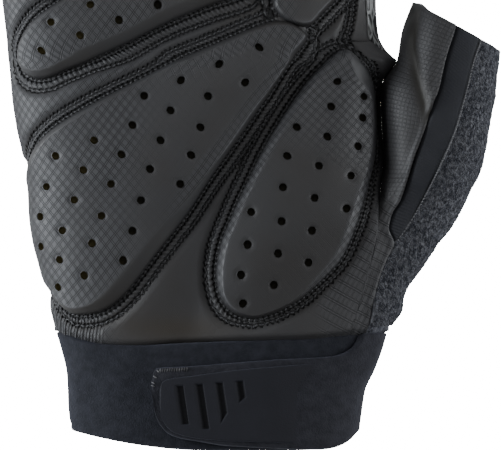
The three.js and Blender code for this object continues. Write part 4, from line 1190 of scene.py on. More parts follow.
def thumbRelief(angle, row):
    # Soft folds of the thumb's leather and its raised cut edge, which is worn and painted with a highlight;
    # creases are painted dark as shadow and the deepest fold darker and browner, as painted shade with a
    # brown tone.
    s = thumbSkin.across(angle, row)
    edge = thumbSkin.across(angleOf(seamShare(leatherEdge, row)), row)
    seen = thumbSkin.pointAt(angle, row)
    x, y = seen[..., 0], seen[..., 1]
    folds = [one["rise"] * bell(distanceToPath(one["path"], x, y), one["width"]) for one in thumbFolds]
    relief = hills(s, row, thumbLook["soft"]) * smooth(0, 5, s) + sum(folds)
    one = thumbLook["edge"]
    cutEdge = bell(edge - s - one["at"], one["width"])
    cutEdge = cutEdge * smooth(shape["wrist"] + 0.5, shape["wrist"] + 4, row)
    relief = relief + one["rise"] * cutEdge
    valley = np.minimum(1, -folds[0] / thumbLook["foldFull"])
    one = thumbLook["corner"]
    corner = bell(np.hypot(x - one["at"][0], y - one["at"][1]), one["reach"])
    dark = thumbLook["crease"] * bell(distanceToPath(crease["path"], x, y), crease["width"])
    pressed = mix(*thumbLook["pressed"], smooth(palm["squareFrom"] - 3, palm["squareFrom"], row))
    worn = mix(*thumbLook["worn"], smooth(50, 66, row))
    above = 1 - thumbLook["above"] * smooth(68, 80, row)
    # Painted shade in the crease, the corner and the upper thumb; wear and a painted highlight on the cut
    # edge; painted shade with a brown tone in the fold.
    marks = {"pressed": pressed * (1 - valley) * (1 - corner),
             "worn": worn * cutEdge * smooth(0, 1.2, edge - s),
             "clean": (1 - dark) * (1 - one["dark"] * corner) * above,
             "folded": thumbLook["folded"] * valley}
    return relief * smooth(0, 0.25, angle), marks


makePalm()
print("palm leather made")


def hexGrid(low, high, spacing):
    # Points of a triangular net over a rectangle.
    columns = np.arange(low[0], high[0], spacing)
    lines = np.arange(low[1], high[1], spacing * 0.866)
    x, y = np.meshgrid(columns, lines)
    x = x + (np.arange(len(lines)) % 2)[:, None] * spacing / 2
    return np.stack([x.ravel(), y.ravel()], -1)


def netInside(outline, points, circles=(), radius=0.0):
    # Triangles over the points inside an outline, none over its holes. The outline comes first.
    count = len(outline)
    everything = np.vstack([outline, points])
    edges = [(i, (i + 1) % count) for i in range(count)]
    found = delaunay_2d_cdt(everything.tolist(), edges, [], 0, 1e-5)
    spots = np.array([tuple(v) for v in found[0]])
    faces = np.array(found[2])
    centre = spots[faces].mean(axis=1)
    keep = outlineDistance(outline, centre) < 0
    for circle in circles:
        keep &= np.hypot(*(centre - circle).T) > radius
    faces = faces[keep]
    a, b, c = (spots[faces[:, k]] for k in range(3))
    turned = (b[:, 0] - a[:, 0]) * (c[:, 1] - a[:, 1]) - (b[:, 1] - a[:, 1]) * (c[:, 0] - a[:, 0]) < 0
    faces[turned] = faces[turned][:, ::-1]
    return spots, faces


def padEmbossing(name, x, y, inside, wide):
    # The thumb's pad is smooth in its middle and lattice along its rim and at its upper end. The heel's
    # pad shows it plainly on its shoulder toward the thumb, the forefinger's pad on its left. A wide
    # slope is smooth.
    onTop = smooth(0.8, 1.1, inside / wide)
    if name == "pad_thumb":
        rim = 0.12 + 0.85 * (1 - smooth(wide * 0.95, wide * 1.35, inside)) * smooth(1.1, 2.0, wide)
        return np.maximum(rim, smooth(78, 92, y + x * 0.4)) * mix(1, onTop, smooth(2.5, 3.0, wide))
    plain = faded(x, y, "pads") * onTop
    if name == "pad_heel":
        shoulder = onTop * (1 - smooth(2.4, 3.6, inside - wide)) * smooth(-32, -14, x)
        return np.maximum(plain, 0.9 * shoulder)
    if name == "pad_forefinger":
        return np.maximum(plain, 0.8 * (1 - smooth(10, 15, x)))
    return plain


padPaintedLight = {
    "outline": 0.45,                          # painted shade at the pad's outline: share of its colour left there
    "crest": 0.5, "crestWidth": 0.3,          # painted highlight on a sharp crest
    # thumbSmooth paints shade on the thumb pad's smooth middle; thumbRim and thumbTop paint highlights on
    # its rim and upper end.
    "thumbSmooth": 0.78, "thumbRim": 0.06, "thumbTop": 0.1,
    "lining": 0.12, "lit": (-28, -46),        # painted shade in the holes: share of the lining's colour left, and where light comes in
}


def padMarks(name, points, flat):
    # What the pad's materials read at each point. The lining in the holes keeps its colour only where
    # light comes in, toward the little finger; elsewhere it is painted dark as shade.
    inside, wide, crest = padInside(pads[name], flat)
    marks = {mark: value + 0 * inside for mark, value in plainMarks.items()}
    marks["pressed"] = padEmbossing(name, points[:, 0], points[:, 1], inside, wide)
    # Painted shade at the pad's foot.
    marks["clean"] = mix(padPaintedLight["outline"], 1, smooth(-0.2, 0.9, inside))
    # Painted highlight on a sharp crest.
    marks["worn"] = padPaintedLight["crest"] * crest * bell(inside - wide, padPaintedLight["crestWidth"])
    if name == "pad_thumb":
        # Painted shade on the thumb pad's smooth middle, painted highlights on its rim and upper end.
        marks["clean"] *= mix(padPaintedLight["thumbSmooth"], 1, marks["pressed"])
        rim = padPaintedLight["thumbRim"] * (1 - smooth(wide * 0.95, wide * 1.3, inside))
        marks["worn"] += rim * smooth(1.2, 2.0, wide) * (1 - smooth(2.6, 3.2, wide))
        marks["worn"] += padPaintedLight["thumbTop"] * smooth(84, 96, points[:, 1])
    for circle in pads[name]["spots"]:
        # Painted shade in each hole, lighter where light comes in.
        inHole = np.hypot(*(flat - circle).T) < hole["radius"] * 1.02
        lit = smooth(*padPaintedLight["lit"], points[inHole, 0])
        marks["clean"][inHole] = mix(padPaintedLight["lining"], 1, lit)
    return marks


def makePad(name):
    # A net of points in the flat plane of the leather, lifted by the pad's profile, with a tube down
    # each hole and a plain underside.
    one = pads[name]
    outline, circles = one["flat"], one["spots"]
    low, high = outline.min(axis=0), outline.max(axis=0)
    inner = hexGrid(low, high, padShape["net"])
    inside, wide, _ = padInside(one, inner)
    keep = inside > wide * 1.25 + 0.45
    for circle in circles:
        keep &= np.hypot(*(inner - circle).T) > hole["radius"] + hole["rim"] + 0.35
    extra = [inner[keep]]
    out, wide = outward(outline), slopeWidth(one, lengthsAlong(closed(outline))[:-1])
    for t in padShape["rings"]:
        ring = outline - out * (t * wide)[:, None]
        extra.append(ring[np.abs(outlineDistance(outline, ring) + t * wide) < 0.05])
    turn = np.linspace(0, 2 * math.pi, hole["sides"], endpoint=False)
    circleShape = np.stack([np.cos(turn), np.sin(turn)], -1)
    rims = [circleShape * radius for radius in (hole["radius"], hole["radius"] + hole["rim"])]
    if len(circles):
        extra.append((circles[:, None] + np.concatenate(rims)).reshape(-1, 2))
    flat, faces = netInside(outline, np.vstack(extra), circles, hole["radius"] * 0.9)
    angle = handSkin.angleAt(flat[:, 0], flat[:, 1])
    lift = padLift(one, flat, angle)
    for circle in circles:
        off = np.hypot(*(flat - circle).T)
        rim = 1 - smooth(hole["radius"], hole["radius"] + hole["rim"] * 2.5, off)
        lift = lift - hole["rimDepth"] * rim
    points, uv = [handSkin.lifted(angle, flat[:, 1], lift)], [flat]
    parts, allFaces = [np.zeros(len(faces))], [faces]
    start = len(flat)

    def addGrid(grid, flatGrid, part):
        nonlocal start
        new = gridFaces(grid.shape[0], grid.shape[1], start, True)
        new = np.concatenate([new[:, [0, 1, 2]], new[:, [0, 2, 3]]])
        points.append(grid.reshape(-1, 3))
        uv.append(flatGrid.reshape(-1, 2))
        allFaces.append(new)
        parts.append(np.full(len(new), part))
        start += grid.shape[0] * grid.shape[1]

    for circle in circles:
        wall = circle + circleShape * hole["radius"]
        angle = handSkin.angleAt(wall[:, 0], wall[:, 1])
        top = padLift(one, wall, angle) - hole["rimDepth"]
        depth = top[None, :] - np.array([0, 0.25, 0.6, 1.0])[:, None] * hole["depth"]
        flatGrid = np.broadcast_to(wall[None], (4, *wall.shape))
        ring = handSkin.lifted(angle[None] + 0 * depth, flatGrid[..., 1], depth)
        addGrid(ring[:, ::-1], flatGrid[:, ::-1], 1)
        middle = ring[-1].mean(axis=0)
        addGrid(np.stack([ring[-1], np.broadcast_to(middle, ring[-1].shape)])[:, ::-1], flatGrid[:2], 1)
    angle = handSkin.angleAt(outline[:, 0], outline[:, 1])
    top = padLift(one, outline, angle)
    skirt = np.stack([0 * top - padShape["under"], top])
    flatGrid = np.broadcast_to(outline[None], (2, *outline.shape))
    skirtGrid = handSkin.lifted(angle[None] + 0 * skirt, flatGrid[..., 1], skirt)
    addGrid(skirtGrid[:, ::-1], flatGrid[:, ::-1], 0)
    coarse = hexGrid(low, high, padShape["underNet"])
    under, underFaces = netInside(outline, coarse[outlineDistance(outline, coarse) < -1])
    underAngle = handSkin.angleAt(under[:, 0], under[:, 1])
    points.append(handSkin.lifted(underAngle, under[:, 1], np.full(len(under), -padShape["under"])))
    uv.append(under)
    allFaces.append(underFaces[:, ::-1] + start)
    parts.append(np.zeros(len(underFaces)))
    flat, points = np.vstack(uv), np.vstack(points)
    marks = padMarks(name, points, flat)
    flat = np.stack([flat[:, 0], flat[:, 1] * one["grain"]], -1)
    piece = makeMesh(name, points, np.vstack(allFaces), flat, np.concatenate(parts).astype(int), marks)
    weldPoints(piece, 0.004)
    finishPiece(piece, "embossed_leather", [padLeather, foam], one["node"])


for name in pads:
    makePad(name)
print("pads made")


def grainShape(rings=5, sides=6):
    # Pointed grain, like a grain of rice: circles whose radius follows a sine from end to end.
    t = np.linspace(0, math.pi, rings + 1)[1:-1]
    turn = np.linspace(0, 2 * math.pi, sides, endpoint=False)
    body = np.stack([
        np.repeat(-np.cos(t) / 2, sides), np.outer(np.sin(t), np.cos(turn)).ravel() / 2,
        np.outer(np.sin(t), np.sin(turn)).ravel() / 2], -1)
    points = np.vstack([body, [[-0.5, 0, 0], [0.5, 0, 0]]])
    count = len(t)
    faces = [(int(a), int(d), int(c), int(b)) for a, b, c, d in gridFaces(count, sides, 0, True)]
    first, last = len(body), len(body) + 1
    faces += [(first, i, (i + 1) % sides) for i in range(sides)]
    top = (count - 1) * sides
    faces += [(last, top + (i + 1) % sides, top + i) for i in range(sides)]
    return points, faces


def scatter(name, template, centre, along, out, size):
    # Copies of one small shape as one mesh: each is turned to its direction along and out, and sized.
    points, faces = template
    along = unit(along)
    side = unit(np.cross(out, along))
    up = np.cross(along, side)
    local = points[None] * size[:, None, :]
    grid = centre[:, None] + local[..., :1] * along[:, None] + local[..., 1:2] * side[:, None] \
        + local[..., 2:] * up[:, None]
    count = len(points)
    starts = np.arange(len(centre)) * count
    allFaces = [np.asarray(f)[None] + starts[:, None] for f in faces]
    flatFaces = [row for block in allFaces for row in block.tolist()]
    return makeMesh(name, grid.reshape(-1, 3), flatFaces)


threads = {"length": 0.95, "width": 0.58, "thick": 0.55, "lean": 0.42}


def makeStitches():
    # One pointed grain of thread for each stitch, lying in its groove and leaning a little. Stitches
    # that another pad covers are left out.
    centre, along, out, size = [], [], [], []
    for seam in seams:
        for ends in seam["rows"]:
            first, last = ends[:-1], ends[1:]
            middle = (first + last) / 2
            clear = np.full(len(middle), True)
            for one in pads.values():
                least = 0.25 if one["seam"] is seam else stitching["clear"]
                clear &= outlineDistance(one["flat"], middle) > least
            first, last, middle = first[clear], last[clear], middle[clear]
            ahead = last - first
            angle = handSkin.angleAt(middle[:, 0], middle[:, 1])
            point, across, forward, up = handSkin.axes(angle, middle[:, 1])
            lie = unit(across * ahead[:, :1] + forward * ahead[:, 1:])
            side = np.cross(up, lie)
            lean = threads["lean"] * np.where(np.arange(len(middle)) % 2, 1, -0.6)[:, None]
            lean = lean + rng.uniform(-0.15, 0.15, (len(middle), 1))
            lift, _ = palmRelief(angle, middle[:, 1])
            centre.append(point + up * lift[:, None])
            along.append(lie * np.cos(lean) + side * np.sin(lean))
            out.append(up)
            length = np.linalg.norm(ahead, axis=1) * threads["length"]
            length = length * rng.uniform(0.9, 1.08, len(middle))
            size.append([(each, threads["width"], threads["thick"]) for each in length])
    placed = (np.vstack(values) for values in (centre, along, out, size))
    finishPiece(scatter("chain_stitching", grainShape(), *placed), "embossed_leather", [thread])


makeStitches()
print("stitches made")


strip = {
    "wall": 1.4, "round": 0.2, "from": 54.4, "rows": 560, "columns": 25,
    "pitch": 0.78, "rib": 0.045, "lean": 0.35,
    "sunk": 0.15, "edge": 0.75,       # how far it lies under the smooth thumb, and more at its edges
}


def makeStrip():
    # Elastic between the two seams of the thumb. Its ribs are a cosine along rows that lean, plainer
    # near the wrist, and it goes down under the leather's edge.
    rows = np.linspace(strip["from"], shape["thumbTip"], strip["rows"])[:, None]
    first, last = angleOf(seamShare(leatherEdge, rows)), angleOf(seamShare(terryEdge, rows))
    angle = mix(first, last, np.linspace(0, 1, strip["columns"])[None, :] ** 1.3)
    point, _, _, out = thumbSkin.axes(angle, rows)
    s = thumbSkin.across(angle, rows)
    wave = np.cos(2 * math.pi * (rows + strip["lean"] * s) / strip["pitch"])
    rib = strip["rib"] * (1 - 0.6 * smooth(78, 92, rows)) * wave
    sunk = strip["edge"] * (bell(s - s[:, :1], 0.6) + 0.5 * bell(s - s[:, -1:], 0.5))
    grid = point + out * (rib - strip["sunk"] - sunk)[..., None]
    piece = joined("elastic_strip", [(grid, np.stack([s, rows + 0 * angle], -1), 0)], 0.002)
    thicken(piece, strip)
    finishPiece(piece, "ribbed_elastic", [elastic], "thumb_strip")


cloth = {
    "wall": 2.2, "round": 0.4, "rows": 150, "columns": 110, "sunk": 0.35,
    "loops": 21000, "size": (0.42, 0.72), "loop": (1.1, 0.62, 0.7),      # least and most, proportions
    "soft": ((0.10, 1.3, 8), (0.25, 6, 9)),
    "bulge": {"rise": 1.3, "row": 35.5, "reach": 3.2},                   # gathered over the wrist seam
}


def terryRelief(s, row):
    one = cloth["bulge"]
    bulge = one["rise"] * bell(row - one["row"], one["reach"]) * smooth(0, 8, s - 12)
    return hills(s, row, cloth["soft"]) + bulge


def terryStart(row):
    # The terry begins at its own seam, and below the strip at the leather's edge.
    return np.maximum(seamShare(leatherEdge, row), np.where(row > 53, seamShare(terryEdge, row), 0))


def makeTerry():
    # Terry from the thumb's front seam round its outer side to the fold at the back.
    rows = np.linspace(shape["wrist"] - seamTuck["rows"], shape["thumbTip"], cloth["rows"])[:, None]
    first = angleOf(terryStart(rows))
    angle = mix(first, 2 * math.pi - 0.02, np.linspace(0, 1, cloth["columns"])[None, :])
    point, _, _, out = thumbSkin.axes(angle, rows)
    s = thumbSkin.across(angle, rows)
    lift = terryRelief(s, rows) - cloth["sunk"]
    grid = tucked(point + out * lift[..., None], rows, 1 - smooth(2.0, 2.8, angle))
    grid[..., 2] = np.maximum(grid[..., 2], 0.05)
    piece = joined("terry_thumb", [(grid, np.stack([s, rows + 0 * s], -1), 0)], 0.002)
    thicken(piece, cloth)
    finishPiece(piece, "terry_cloth", [terry], "thumb_terry")

    # Its loops as small eight-sided grains, strewn evenly but a little closer toward the front seam.
    row = rng.uniform(shape["wrist"] + 0.9, 116.2, cloth["loops"])
    first = angleOf(terryStart(row))
    start = thumbSkin.across(first, row) + 0.5
    end = thumbSkin.across(np.full_like(row, 2 * math.pi - 0.05), row)
    s = mix(start, end, rng.uniform(0, 1, len(row)) ** 1.25)
    angle = thumbSkin.angleAt(s, row)
    point, across, along, out = thumbSkin.axes(angle, row)
    point = point + out * (terryRelief(s, row) - 0.3)[:, None]
    keep = point[:, 2] > 0.6
    turn = rng.uniform(0, 2 * math.pi, len(row))[:, None]
    direction = across * np.cos(turn) + along * np.sin(turn)
    direction = direction + out * rng.uniform(-0.5, 0.5, len(row))[:, None]
    size = rng.uniform(*cloth["size"], len(row))[:, None] * np.array([cloth["loop"]])
    loop = (np.array([[.5, 0, 0], [-.5, 0, 0], [0, .5, 0], [0, -.5, 0], [0, 0, .5], [0, 0, -.5]]),
            [(0, 2, 4), (2, 1, 4), (1, 3, 4), (3, 0, 4), (2, 0, 5), (1, 2, 5), (3, 1, 5), (0, 3, 5)])
    loops = scatter("terry_loops", loop, point[keep], direction[keep], out[keep], size[keep])
    finishPiece(loops, "terry_cloth", [terry])


piping = {"from": 54.5, "to": 116.3, "pitch": 0.765, "lift": 0.05, "size": (0.72, 0.42, 0.4)}


def makePiping():
    # A row of small light stitches along the seam between strip and terry.
    rows = np.arange(piping["from"], piping["to"], piping["pitch"])
    angle = angleOf(seamShare(terryEdge, rows))
    point, across, _, out = thumbSkin.axes(angle, rows)
    lie = np.gradient(point, axis=0) + across * 0.25
    size = np.broadcast_to(piping["size"], point.shape)
    piece = scatter("piping_stitches", grainShape(), point + out * piping["lift"], lie, out, size)
    finishPiece(piece, "terry_cloth", [lightThread])


makeStrip()
makeTerry()
makePiping()
print("thumb made")


back = {"wall": 1.3, "round": 0.2, "columns": 16, "rows": 90, "fingerRows": 24, "sideColumns": 8}


def makeBack():
    # The back's four finger panels, pressed flat where they rest, and the forefinger's side.
    patches = []
    rows, handRows = pieceRows(back)
    place = np.linspace(1, 0, back["columns"])[None, :]
    for k in range(4):
        start, end = fingers["from"][k], fingers["to"][k]
        if k == 0:
            start = littleSeam(handRows)
        if k == 3:
            end = np.where(handRows > shape["web"], 1, 0.996)
        share = mix(start, end, shareOf(math.pi * place)) + 0 * rows
        grid = fingerPoint(k, share, rows, False)
        patches.append((grid, np.stack([grid[..., 0], rows + 0 * share], -1), 0))
    rows = rows[rows[:, 0] >= shape["web"]]
    handRows = np.minimum(rows, shape["crotch"])
    across = np.sin(np.linspace(0, 1, back["sideColumns"])[None, :] * math.pi / 2)
    share = np.minimum(mix(forefingerSeam(handRows) + 0.001, 1, across), 1)
    grid = fingerPoint(3, share, rows, True)
    # The forefinger's side: the same mesh with a light print and painted glints.
    patches.append((grid, np.stack([grid[..., 2], rows + 0 * share], -1), 1))
    piece = joined("mesh_back", patches, 0.05)
    thicken(piece, back)
    finishPiece(piece, "stretch_mesh", [stretchMesh, meshPrintAndGlints], "back_fabric")


gusset = {"wall": 1.0, "round": 0.15, "rows": 40, "columns": 9, "low": 5.0, "high": 15.0}


def makeGussets():
    # Strips between neighbouring fingers: down one finger's side, round the crotch, up the other's.
    names = ("fourchette_little_ring", "fourchette_ring_middle", "fourchette_middle_index")
    for k, name in enumerate(names):
        rows = np.linspace(shape["tip"], shape["crotch"], gusset["rows"])
        share = fingers["to"][k]
        down = fingerPoint(k, share, rows, True)[:, :2]
        up = fingerPoint(k + 1, share, rows[::-1], True)[1:, :2]
        path = np.vstack([down, up])
        height = np.linspace(gusset["low"], gusset["high"], gusset["columns"])
        grid = np.empty((len(height), len(path), 3))
        grid[..., :2] = path[None]
        grid[..., 2] = height[:, None]
        length = np.linspace(0, 60, len(path))
        flat = np.stack(np.meshgrid(length, height), -1)
        piece = joined("gusset_" + name.split("_", 1)[1], [(grid, flat, 0)], 0.002)
        thicken(piece, gusset)
        finishPiece(piece, "stretch_mesh", [stretchMesh], name)


makeBack()
makeGussets()
print("back made")


cuff = {
    "y":     [0, 5.7, 9.1, 15.6, 20.8, 26, 31.5],
    "left":  [-45.4, -46.5, -47.1, -47.5, -47.9, -49.0, -50.6],
    "right": [25.6, 26.0, 26.5, 27.6, 30.1, 32.0, 33.4],
    "side": 13.5, "top": 26, "lift": 4.8, "wall": 3.0, "seamGap": 0.3,
    "lip": 0.8,               # its two edges are rounded over this far
    "hem": {"at": 1.3, "width": 0.3, "depth": 0.32},
    "seamRow": 28, "radius": 28, "soft": ((0.25, 7, 12),),
}


def cuffRise(share):
    # The wrist edge is arched: it lies higher at the two sides.
    return cuff["lift"] * np.where(share < 0.5, (1 - 2 * share) ** 2, (2 * share - 1) ** 12)


def cuffPoint(share, y, palmSide, grown):
    left = curve(cuff, "left", y) - grown
    right = curve(cuff, "right", y) + grown
    reach = np.where(palmSide, cuff["top"] + grown, -shape["press"] - grown)
    z = arch(share, cuff["side"], cuff["side"], reach)
    return np.stack([mix(left, right, share), y, np.maximum(0, z)], -1)


def lipProfile(count, lip, wall, bend=9):
    # Closed profile of a sheet: up its outside, over one rounded edge, down its inside, over the other.
    # Gives place along (0 to 1), how far past that edge, and depth below the outside.
    up = np.linspace(0, 1, count)
    turn = np.linspace(0, math.pi, bend + 2)[1:-1]
    along = np.concatenate([up, np.ones(bend), up[::-1], np.zeros(bend)])
    past = np.concatenate([0 * up, lip * np.sin(turn), 0 * up, -lip * np.sin(turn)])
    over, under = wall / 2 * (1 - np.cos(turn)), wall / 2 * (1 + np.cos(turn))
    depth = np.concatenate([0 * up, over, 0 * up + wall, under])
    return [part[:, None] for part in (along, past, depth)]


def makeCuff():
    # Tube of neoprene: its closed profile goes round the wrist. A shallow groove marks the hem.
    angle = np.linspace(0, 2 * math.pi, 260, endpoint=False)[None, :]
    along, past, depth = lipProfile(46, cuff["lip"], cuff["wall"])
    share = shareOf(angle)
    x = mix(curve(cuff, "left", cuff["seamRow"]), curve(cuff, "right", cuff["seamRow"]), share)
    low = cuffRise(share) + cuff["lip"]
    high = curve(wristSeam, "y", x, key="x") - cuff["seamGap"] - cuff["lip"]
    y = mix(low, high, along) + past
    outside, hem = depth < 0.01, cuff["hem"]
    groove = np.where(outside, hem["depth"] * bell(y - low - hem["at"], hem["width"]), 0)
    soft = np.where(outside, hills(angle * cuff["radius"], y, cuff["soft"]), 0)
    grid = cuffPoint(share + 0 * y, y, np.sin(angle) > -1e-9, soft - groove - depth)
    flat = np.stack([angle * cuff["radius"] + 0 * y, y], -1)
    finishPiece(closedSheet("neoprene_cuff", grid, flat, True), "neoprene", [neoprene], "cuff")


strap = {
    "share": [0.300, 0.306, 0.313, 0.322, 0.337, 0.358, 0.39, 0.464, 0.549,
              0.70, 0.80, 0.86, 0.89, 0.92, 0.931, 0.936, 1],
    "rise":  [17.3, 13.9, 11.0, 7.6, 5.4, 3.9, 3.1, 2.3, 1.3,
              0.7, 0.3, 0.1, 0, 0, 0, 0, 0],
    "high":  [19.0, 20.7, 21.4, 21.5, 21.6, 21.7, 21.8, 22.2, 22.8,
              23.7, 24.1, 24.5, 25.2, 26.9, 28.6, 30.2, 30.6],
    "endAngle": 3.5, "wall": 2.0, "gap": 0.5,
    "lip": 0.7,               # its two edges are rounded over this far
    "recess": 0.8,            # how deep the moulded patch lies in it
    "recessTo": (0.65, 0.70),                 # shares of the section where the recess ends
    "radius": 38, "width": 20, "soft": ((0.2, 9, 14),),
}


def strapPoint(angle, along, grown, past=0):
    # Over the cuff, from the strap's lower edge at 0 to its upper edge at 1.
    share = shareOf(angle)
    at = np.where(angle > math.pi, 1, share)
    low = cuffRise(share) + curve(strap, "rise", at, key="share") + strap["lip"]
    x = cuffPoint(share, shape["wrist"] + 0 * share, True, strap["gap"] + strap["wall"])[..., 0]
    seam = curve(wristSeam, "y", x, key="x") - cuff["seamGap"]
    high = np.minimum(curve(strap, "high", at, key="share"), seam) - strap["lip"]
    y = mix(low, high, along) + past
    return cuffPoint(share + 0 * y, y, np.sin(angle) > -1e-9, grown)


def patchEdges(angle):
    # Heights of the patch's lower and upper edge above the wrist.
    return [curve(patch, edge, shareOf(angle), key="share") for edge in ("low", "high")]


def makeStrap():
    # Its closed profile goes round the wrist from the tab's end to where it is sewn on. The patch lies
    # in a recess.
    start = float(angleOf(strap["share"][0]))
    t = np.linspace(0, 1, 240)
    angle = (start + (strap["endAngle"] - start) * (0.15 * t + 0.85 * t ** 1.6))[None, :]
    along, past, depth = lipProfile(40, strap["lip"], strap["wall"])
    depth = roundedEnd(depth, strap["wall"], (angle - start) * strap["radius"], 1)
    soft = hills(angle * strap["radius"], along * 22, strap["soft"])
    grown = strap["gap"] + strap["wall"] - depth + soft * (depth < 0.3)
    y = strapPoint(angle, along, grown, past)[..., 1]
    low, high = patchEdges(angle)
    inside = np.minimum(y - low, high - y)
    under = smooth(0.5, 1.2, inside) * (1 - smooth(*strap["recessTo"], shareOf(angle))) * (depth < 1)
    grid = strapPoint(angle, along, grown - strap["recess"] * under, past)
    flat = np.stack([angle * strap["radius"] + 0 * along, along * strap["width"] + 0 * angle], -1)
    finishPiece(closedSheet("wrist_strap", grid, flat), "neoprene", [strapCloth], "closure_strap")


patch = {
    "share": [0.334, 0.337, 0.344, 0.356, 0.376, 0.41, 0.46, 0.53, 0.62, 0.72, 0.80, 0.88],
    "low":   [14.6, 11.0, 8.4, 6.6, 5.2, 4.2, 3.5, 3.0, 2.7, 2.5, 2.4, 2.4],
    "high":  [15.4, 16.9, 17.8, 18.3, 18.6, 18.9, 19.5, 20.3, 21.1, 21.8, 22.3, 22.9],
    "wall": 0.9, "stands": 0.7, "sinkFrom": 0.66, "sink": 1.0, "lip": 0.3, "round": 0.6,
    "slotLean": 0.15, "slotWidth": 2.5, "slotDepth": 0.75,
    # Each slot's upper left corner and the lengths of its left and right side.
    "slots": [
        (-19.8, 17.0, 10.2, 10.2), (-14.7, 17.4, 11.8, 11.8), (-9.5, 17.8, 11.2, 8.0),
        (-4.2, 18.2, 6.2, 4.4)],
}


def slotDepth(x, y):
    # How deep each place is pressed: a leaning bar whose floor falls from left to right, up to a steep
    # end wall; its lower end may be cut aslant.
    deep = np.zeros(np.broadcast(x, y).shape)
    for left, top, leftLength, rightLength in patch["slots"]:
        lean = left + patch["slotLean"] * (top - y)
        t = np.clip((x - lean) / patch["slotWidth"], 0, 1)
        foot = top - mix(leftLength, rightLength, t)
        ends = smooth(-0.15, 0.35, np.minimum(top - y, y - foot))
        wall = smooth(-0.05, 0.12, lean + patch["slotWidth"] - x)
        deep = np.maximum(deep, ends * wall * smooth(-0.1, 1.3, x - lean))
    return deep


def patchPoint(angle, along, grown, past=0):
    # Over the strap, between the patch's own lower and upper edge.
    y = mix(*patchEdges(angle), along) + past
    return cuffPoint(shareOf(angle) + 0 * y, y, True, grown)


def makePatch():
    # Moulded patch over the tab: the strap's own surface raised, with slots pressed into it. Toward the
    # right it sinks into the strap.
    start, end = (float(angleOf(patch["share"][k])) for k in (0, -1))
    t = np.linspace(0, 1, 300)[None, :]
    angle = start + (end - start) * mix(t, t ** 2, 0.35)
    along, past, depth = lipProfile(90, patch["lip"], patch["wall"], 5)
    sink = patch["sink"] * smooth(patch["sinkFrom"], patch["share"][-1], shareOf(angle))
    grown = strap["gap"] + strap["wall"] + patch["stands"] - sink
    flatPoint = patchPoint(angle, along, grown, past)
    deep = slotDepth(flatPoint[..., 0], flatPoint[..., 1]) * (depth < 0.01)
    edge = np.minimum(angle - start, end - angle) * strap["radius"]
    sunk = roundedEnd(depth, patch["wall"], edge, patch["round"]) + deep * patch["slotDepth"]
    grid = patchPoint(angle, along, grown - sunk, past)
    flat = np.stack([angle * strap["radius"] + 0 * along, along * strap["width"] + 0 * angle], -1)
    marks = {"shaded": 0.9 * smooth(0.25, 0.9, deep).ravel()}
    piece = closedSheet("strap_patch", grid, flat, False, marks)
    finishPiece(piece, "moulded_patch", [rubberPatch], "grip_patch")


overlock = {"light": 5, "dark": 11, "to": 0.41, "size": (1.1, 0.36, 0.36)}


def makeOverlock():
    # Threads over the tab's edge: light ones round its corner, then dark ones along its upper edge.
    count = overlock["light"] + overlock["dark"]
    start = float(angleOf(strap["share"][0])) + 0.02
    end = float(angleOf(overlock["to"]))
    t = np.linspace(0, 1, count)
    angle = mix(start, end, np.maximum(0, t - 0.1) / 0.9)
    along = mix(0.45, 1, smooth(0, 0.22, t))
    centre = strapPoint(angle, along, strap["gap"] + strap["wall"] + 0.05)
    path = np.gradient(centre, axis=0)
    up = np.broadcast_to([0.0, 0.0, 1.0], centre.shape)
    over = np.cross(up, unit(path)) + 0.25 * unit(path)
    size = np.broadcast_to(overlock["size"], centre.shape)
    kinds = (("tab_corner_stitches", slice(0, overlock["light"]), lightThread),
             ("tab_edge_stitches", slice(overlock["light"], None), thread))
    for name, part, material in kinds:
        piece = scatter(name, grainShape(), centre[part], over[part], up[part], size[part])
        finishPiece(piece, "neoprene", [material])


makeCuff()
makeStrap()
makePatch()
makeOverlock()
print("cuff and strap made")


studio = {
    "lens": 900, "sensor": 36, "width": 130.26, "focus": 13.5,      # mm
    "centre": (0.13, 58.5),
    "floor": 1.5, "world": 0.28,
    "key": {"at": (-550, 20, 140), "size": 380, "power": 4.9, "colour": (0.91, 0.955, 1.0)},
    "fill": {"at": (60, 260, 620), "size": 420, "power": 0.42, "colour": (1, 1, 1)},
    "side": {"at": (540, 20, 175), "size": 380, "power": 2.2, "colour": (0.93, 0.965, 1.0)},
}


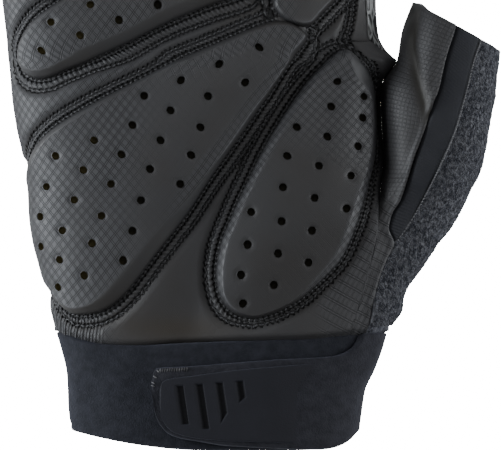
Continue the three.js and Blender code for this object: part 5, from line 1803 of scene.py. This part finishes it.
def aimAt(thing, place):
    thing.rotation_euler = (Vector(place) - thing.location).to_track_quat("-Z", "Y").to_euler()


def makeStudio():
    centre = (np.array([*studio["centre"], 0]) + shift) / 1000
    lens = bpy.data.cameras.new("camera")
    lens.lens, lens.sensor_width, lens.sensor_fit = studio["lens"], studio["sensor"], "HORIZONTAL"
    camera = bpy.data.objects.new("camera", lens)
    far = studio["lens"] / studio["sensor"] * studio["width"]
    camera.location = (centre[0], centre[1], (far + studio["focus"]) / 1000)
    bpy.context.scene.collection.objects.link(camera)
    bpy.context.scene.camera = camera
    for name in ("key", "fill", "side"):
        light = bpy.data.lights.new(name, "AREA")
        light.size, light.energy = studio[name]["size"] / 1000, studio[name]["power"]
        light.color = studio[name]["colour"]
        lamp = bpy.data.objects.new(name, light)
        lamp.location = [v / 1000 for v in studio[name]["at"]]
        aimAt(lamp, (0, 0, 0.015))
        bpy.context.scene.collection.objects.link(lamp)
    world = bpy.data.worlds.new("studio")
    world.use_nodes = True
    world.node_tree.nodes["Background"].inputs["Color"].default_value = (1, 1, 1, 1)
    world.node_tree.nodes["Background"].inputs["Strength"].default_value = studio["world"]
    bpy.context.scene.world = world
    # Two sheets of paper: one lies under the glove and gives its sides some light, and one, bright as
    # a lit backdrop, is what the camera sees.
    size = studio["floor"]
    for name, depth, glow in (("paper", 0.0, 0.15), ("backdrop", 0.0006, 22.0)):
        sheet = bpy.data.meshes.new(name)
        corners = [(x * size, y * size, -depth) for x, y in ((-1, -1), (1, -1), (1, 1), (-1, 1))]
        sheet.from_pydata(corners, [], [(0, 1, 2, 3)])
        ground = bpy.data.objects.new(name, sheet)
        bpy.context.scene.collection.objects.link(ground)
        m = Maker(name, (0.9, 0.9, 0.9), {"Roughness": 0.9, "Emission Strength": glow,
                                          "Emission Color": (1, 1, 1, 1)})
        ground.data.materials.append(m.material)
        seen = name == "backdrop"
        ground.visible_camera = seen
        ground.visible_diffuse = ground.visible_glossy = ground.visible_transmission = not seen
        ground.visible_shadow = not seen


makeStudio()
print("studio made")
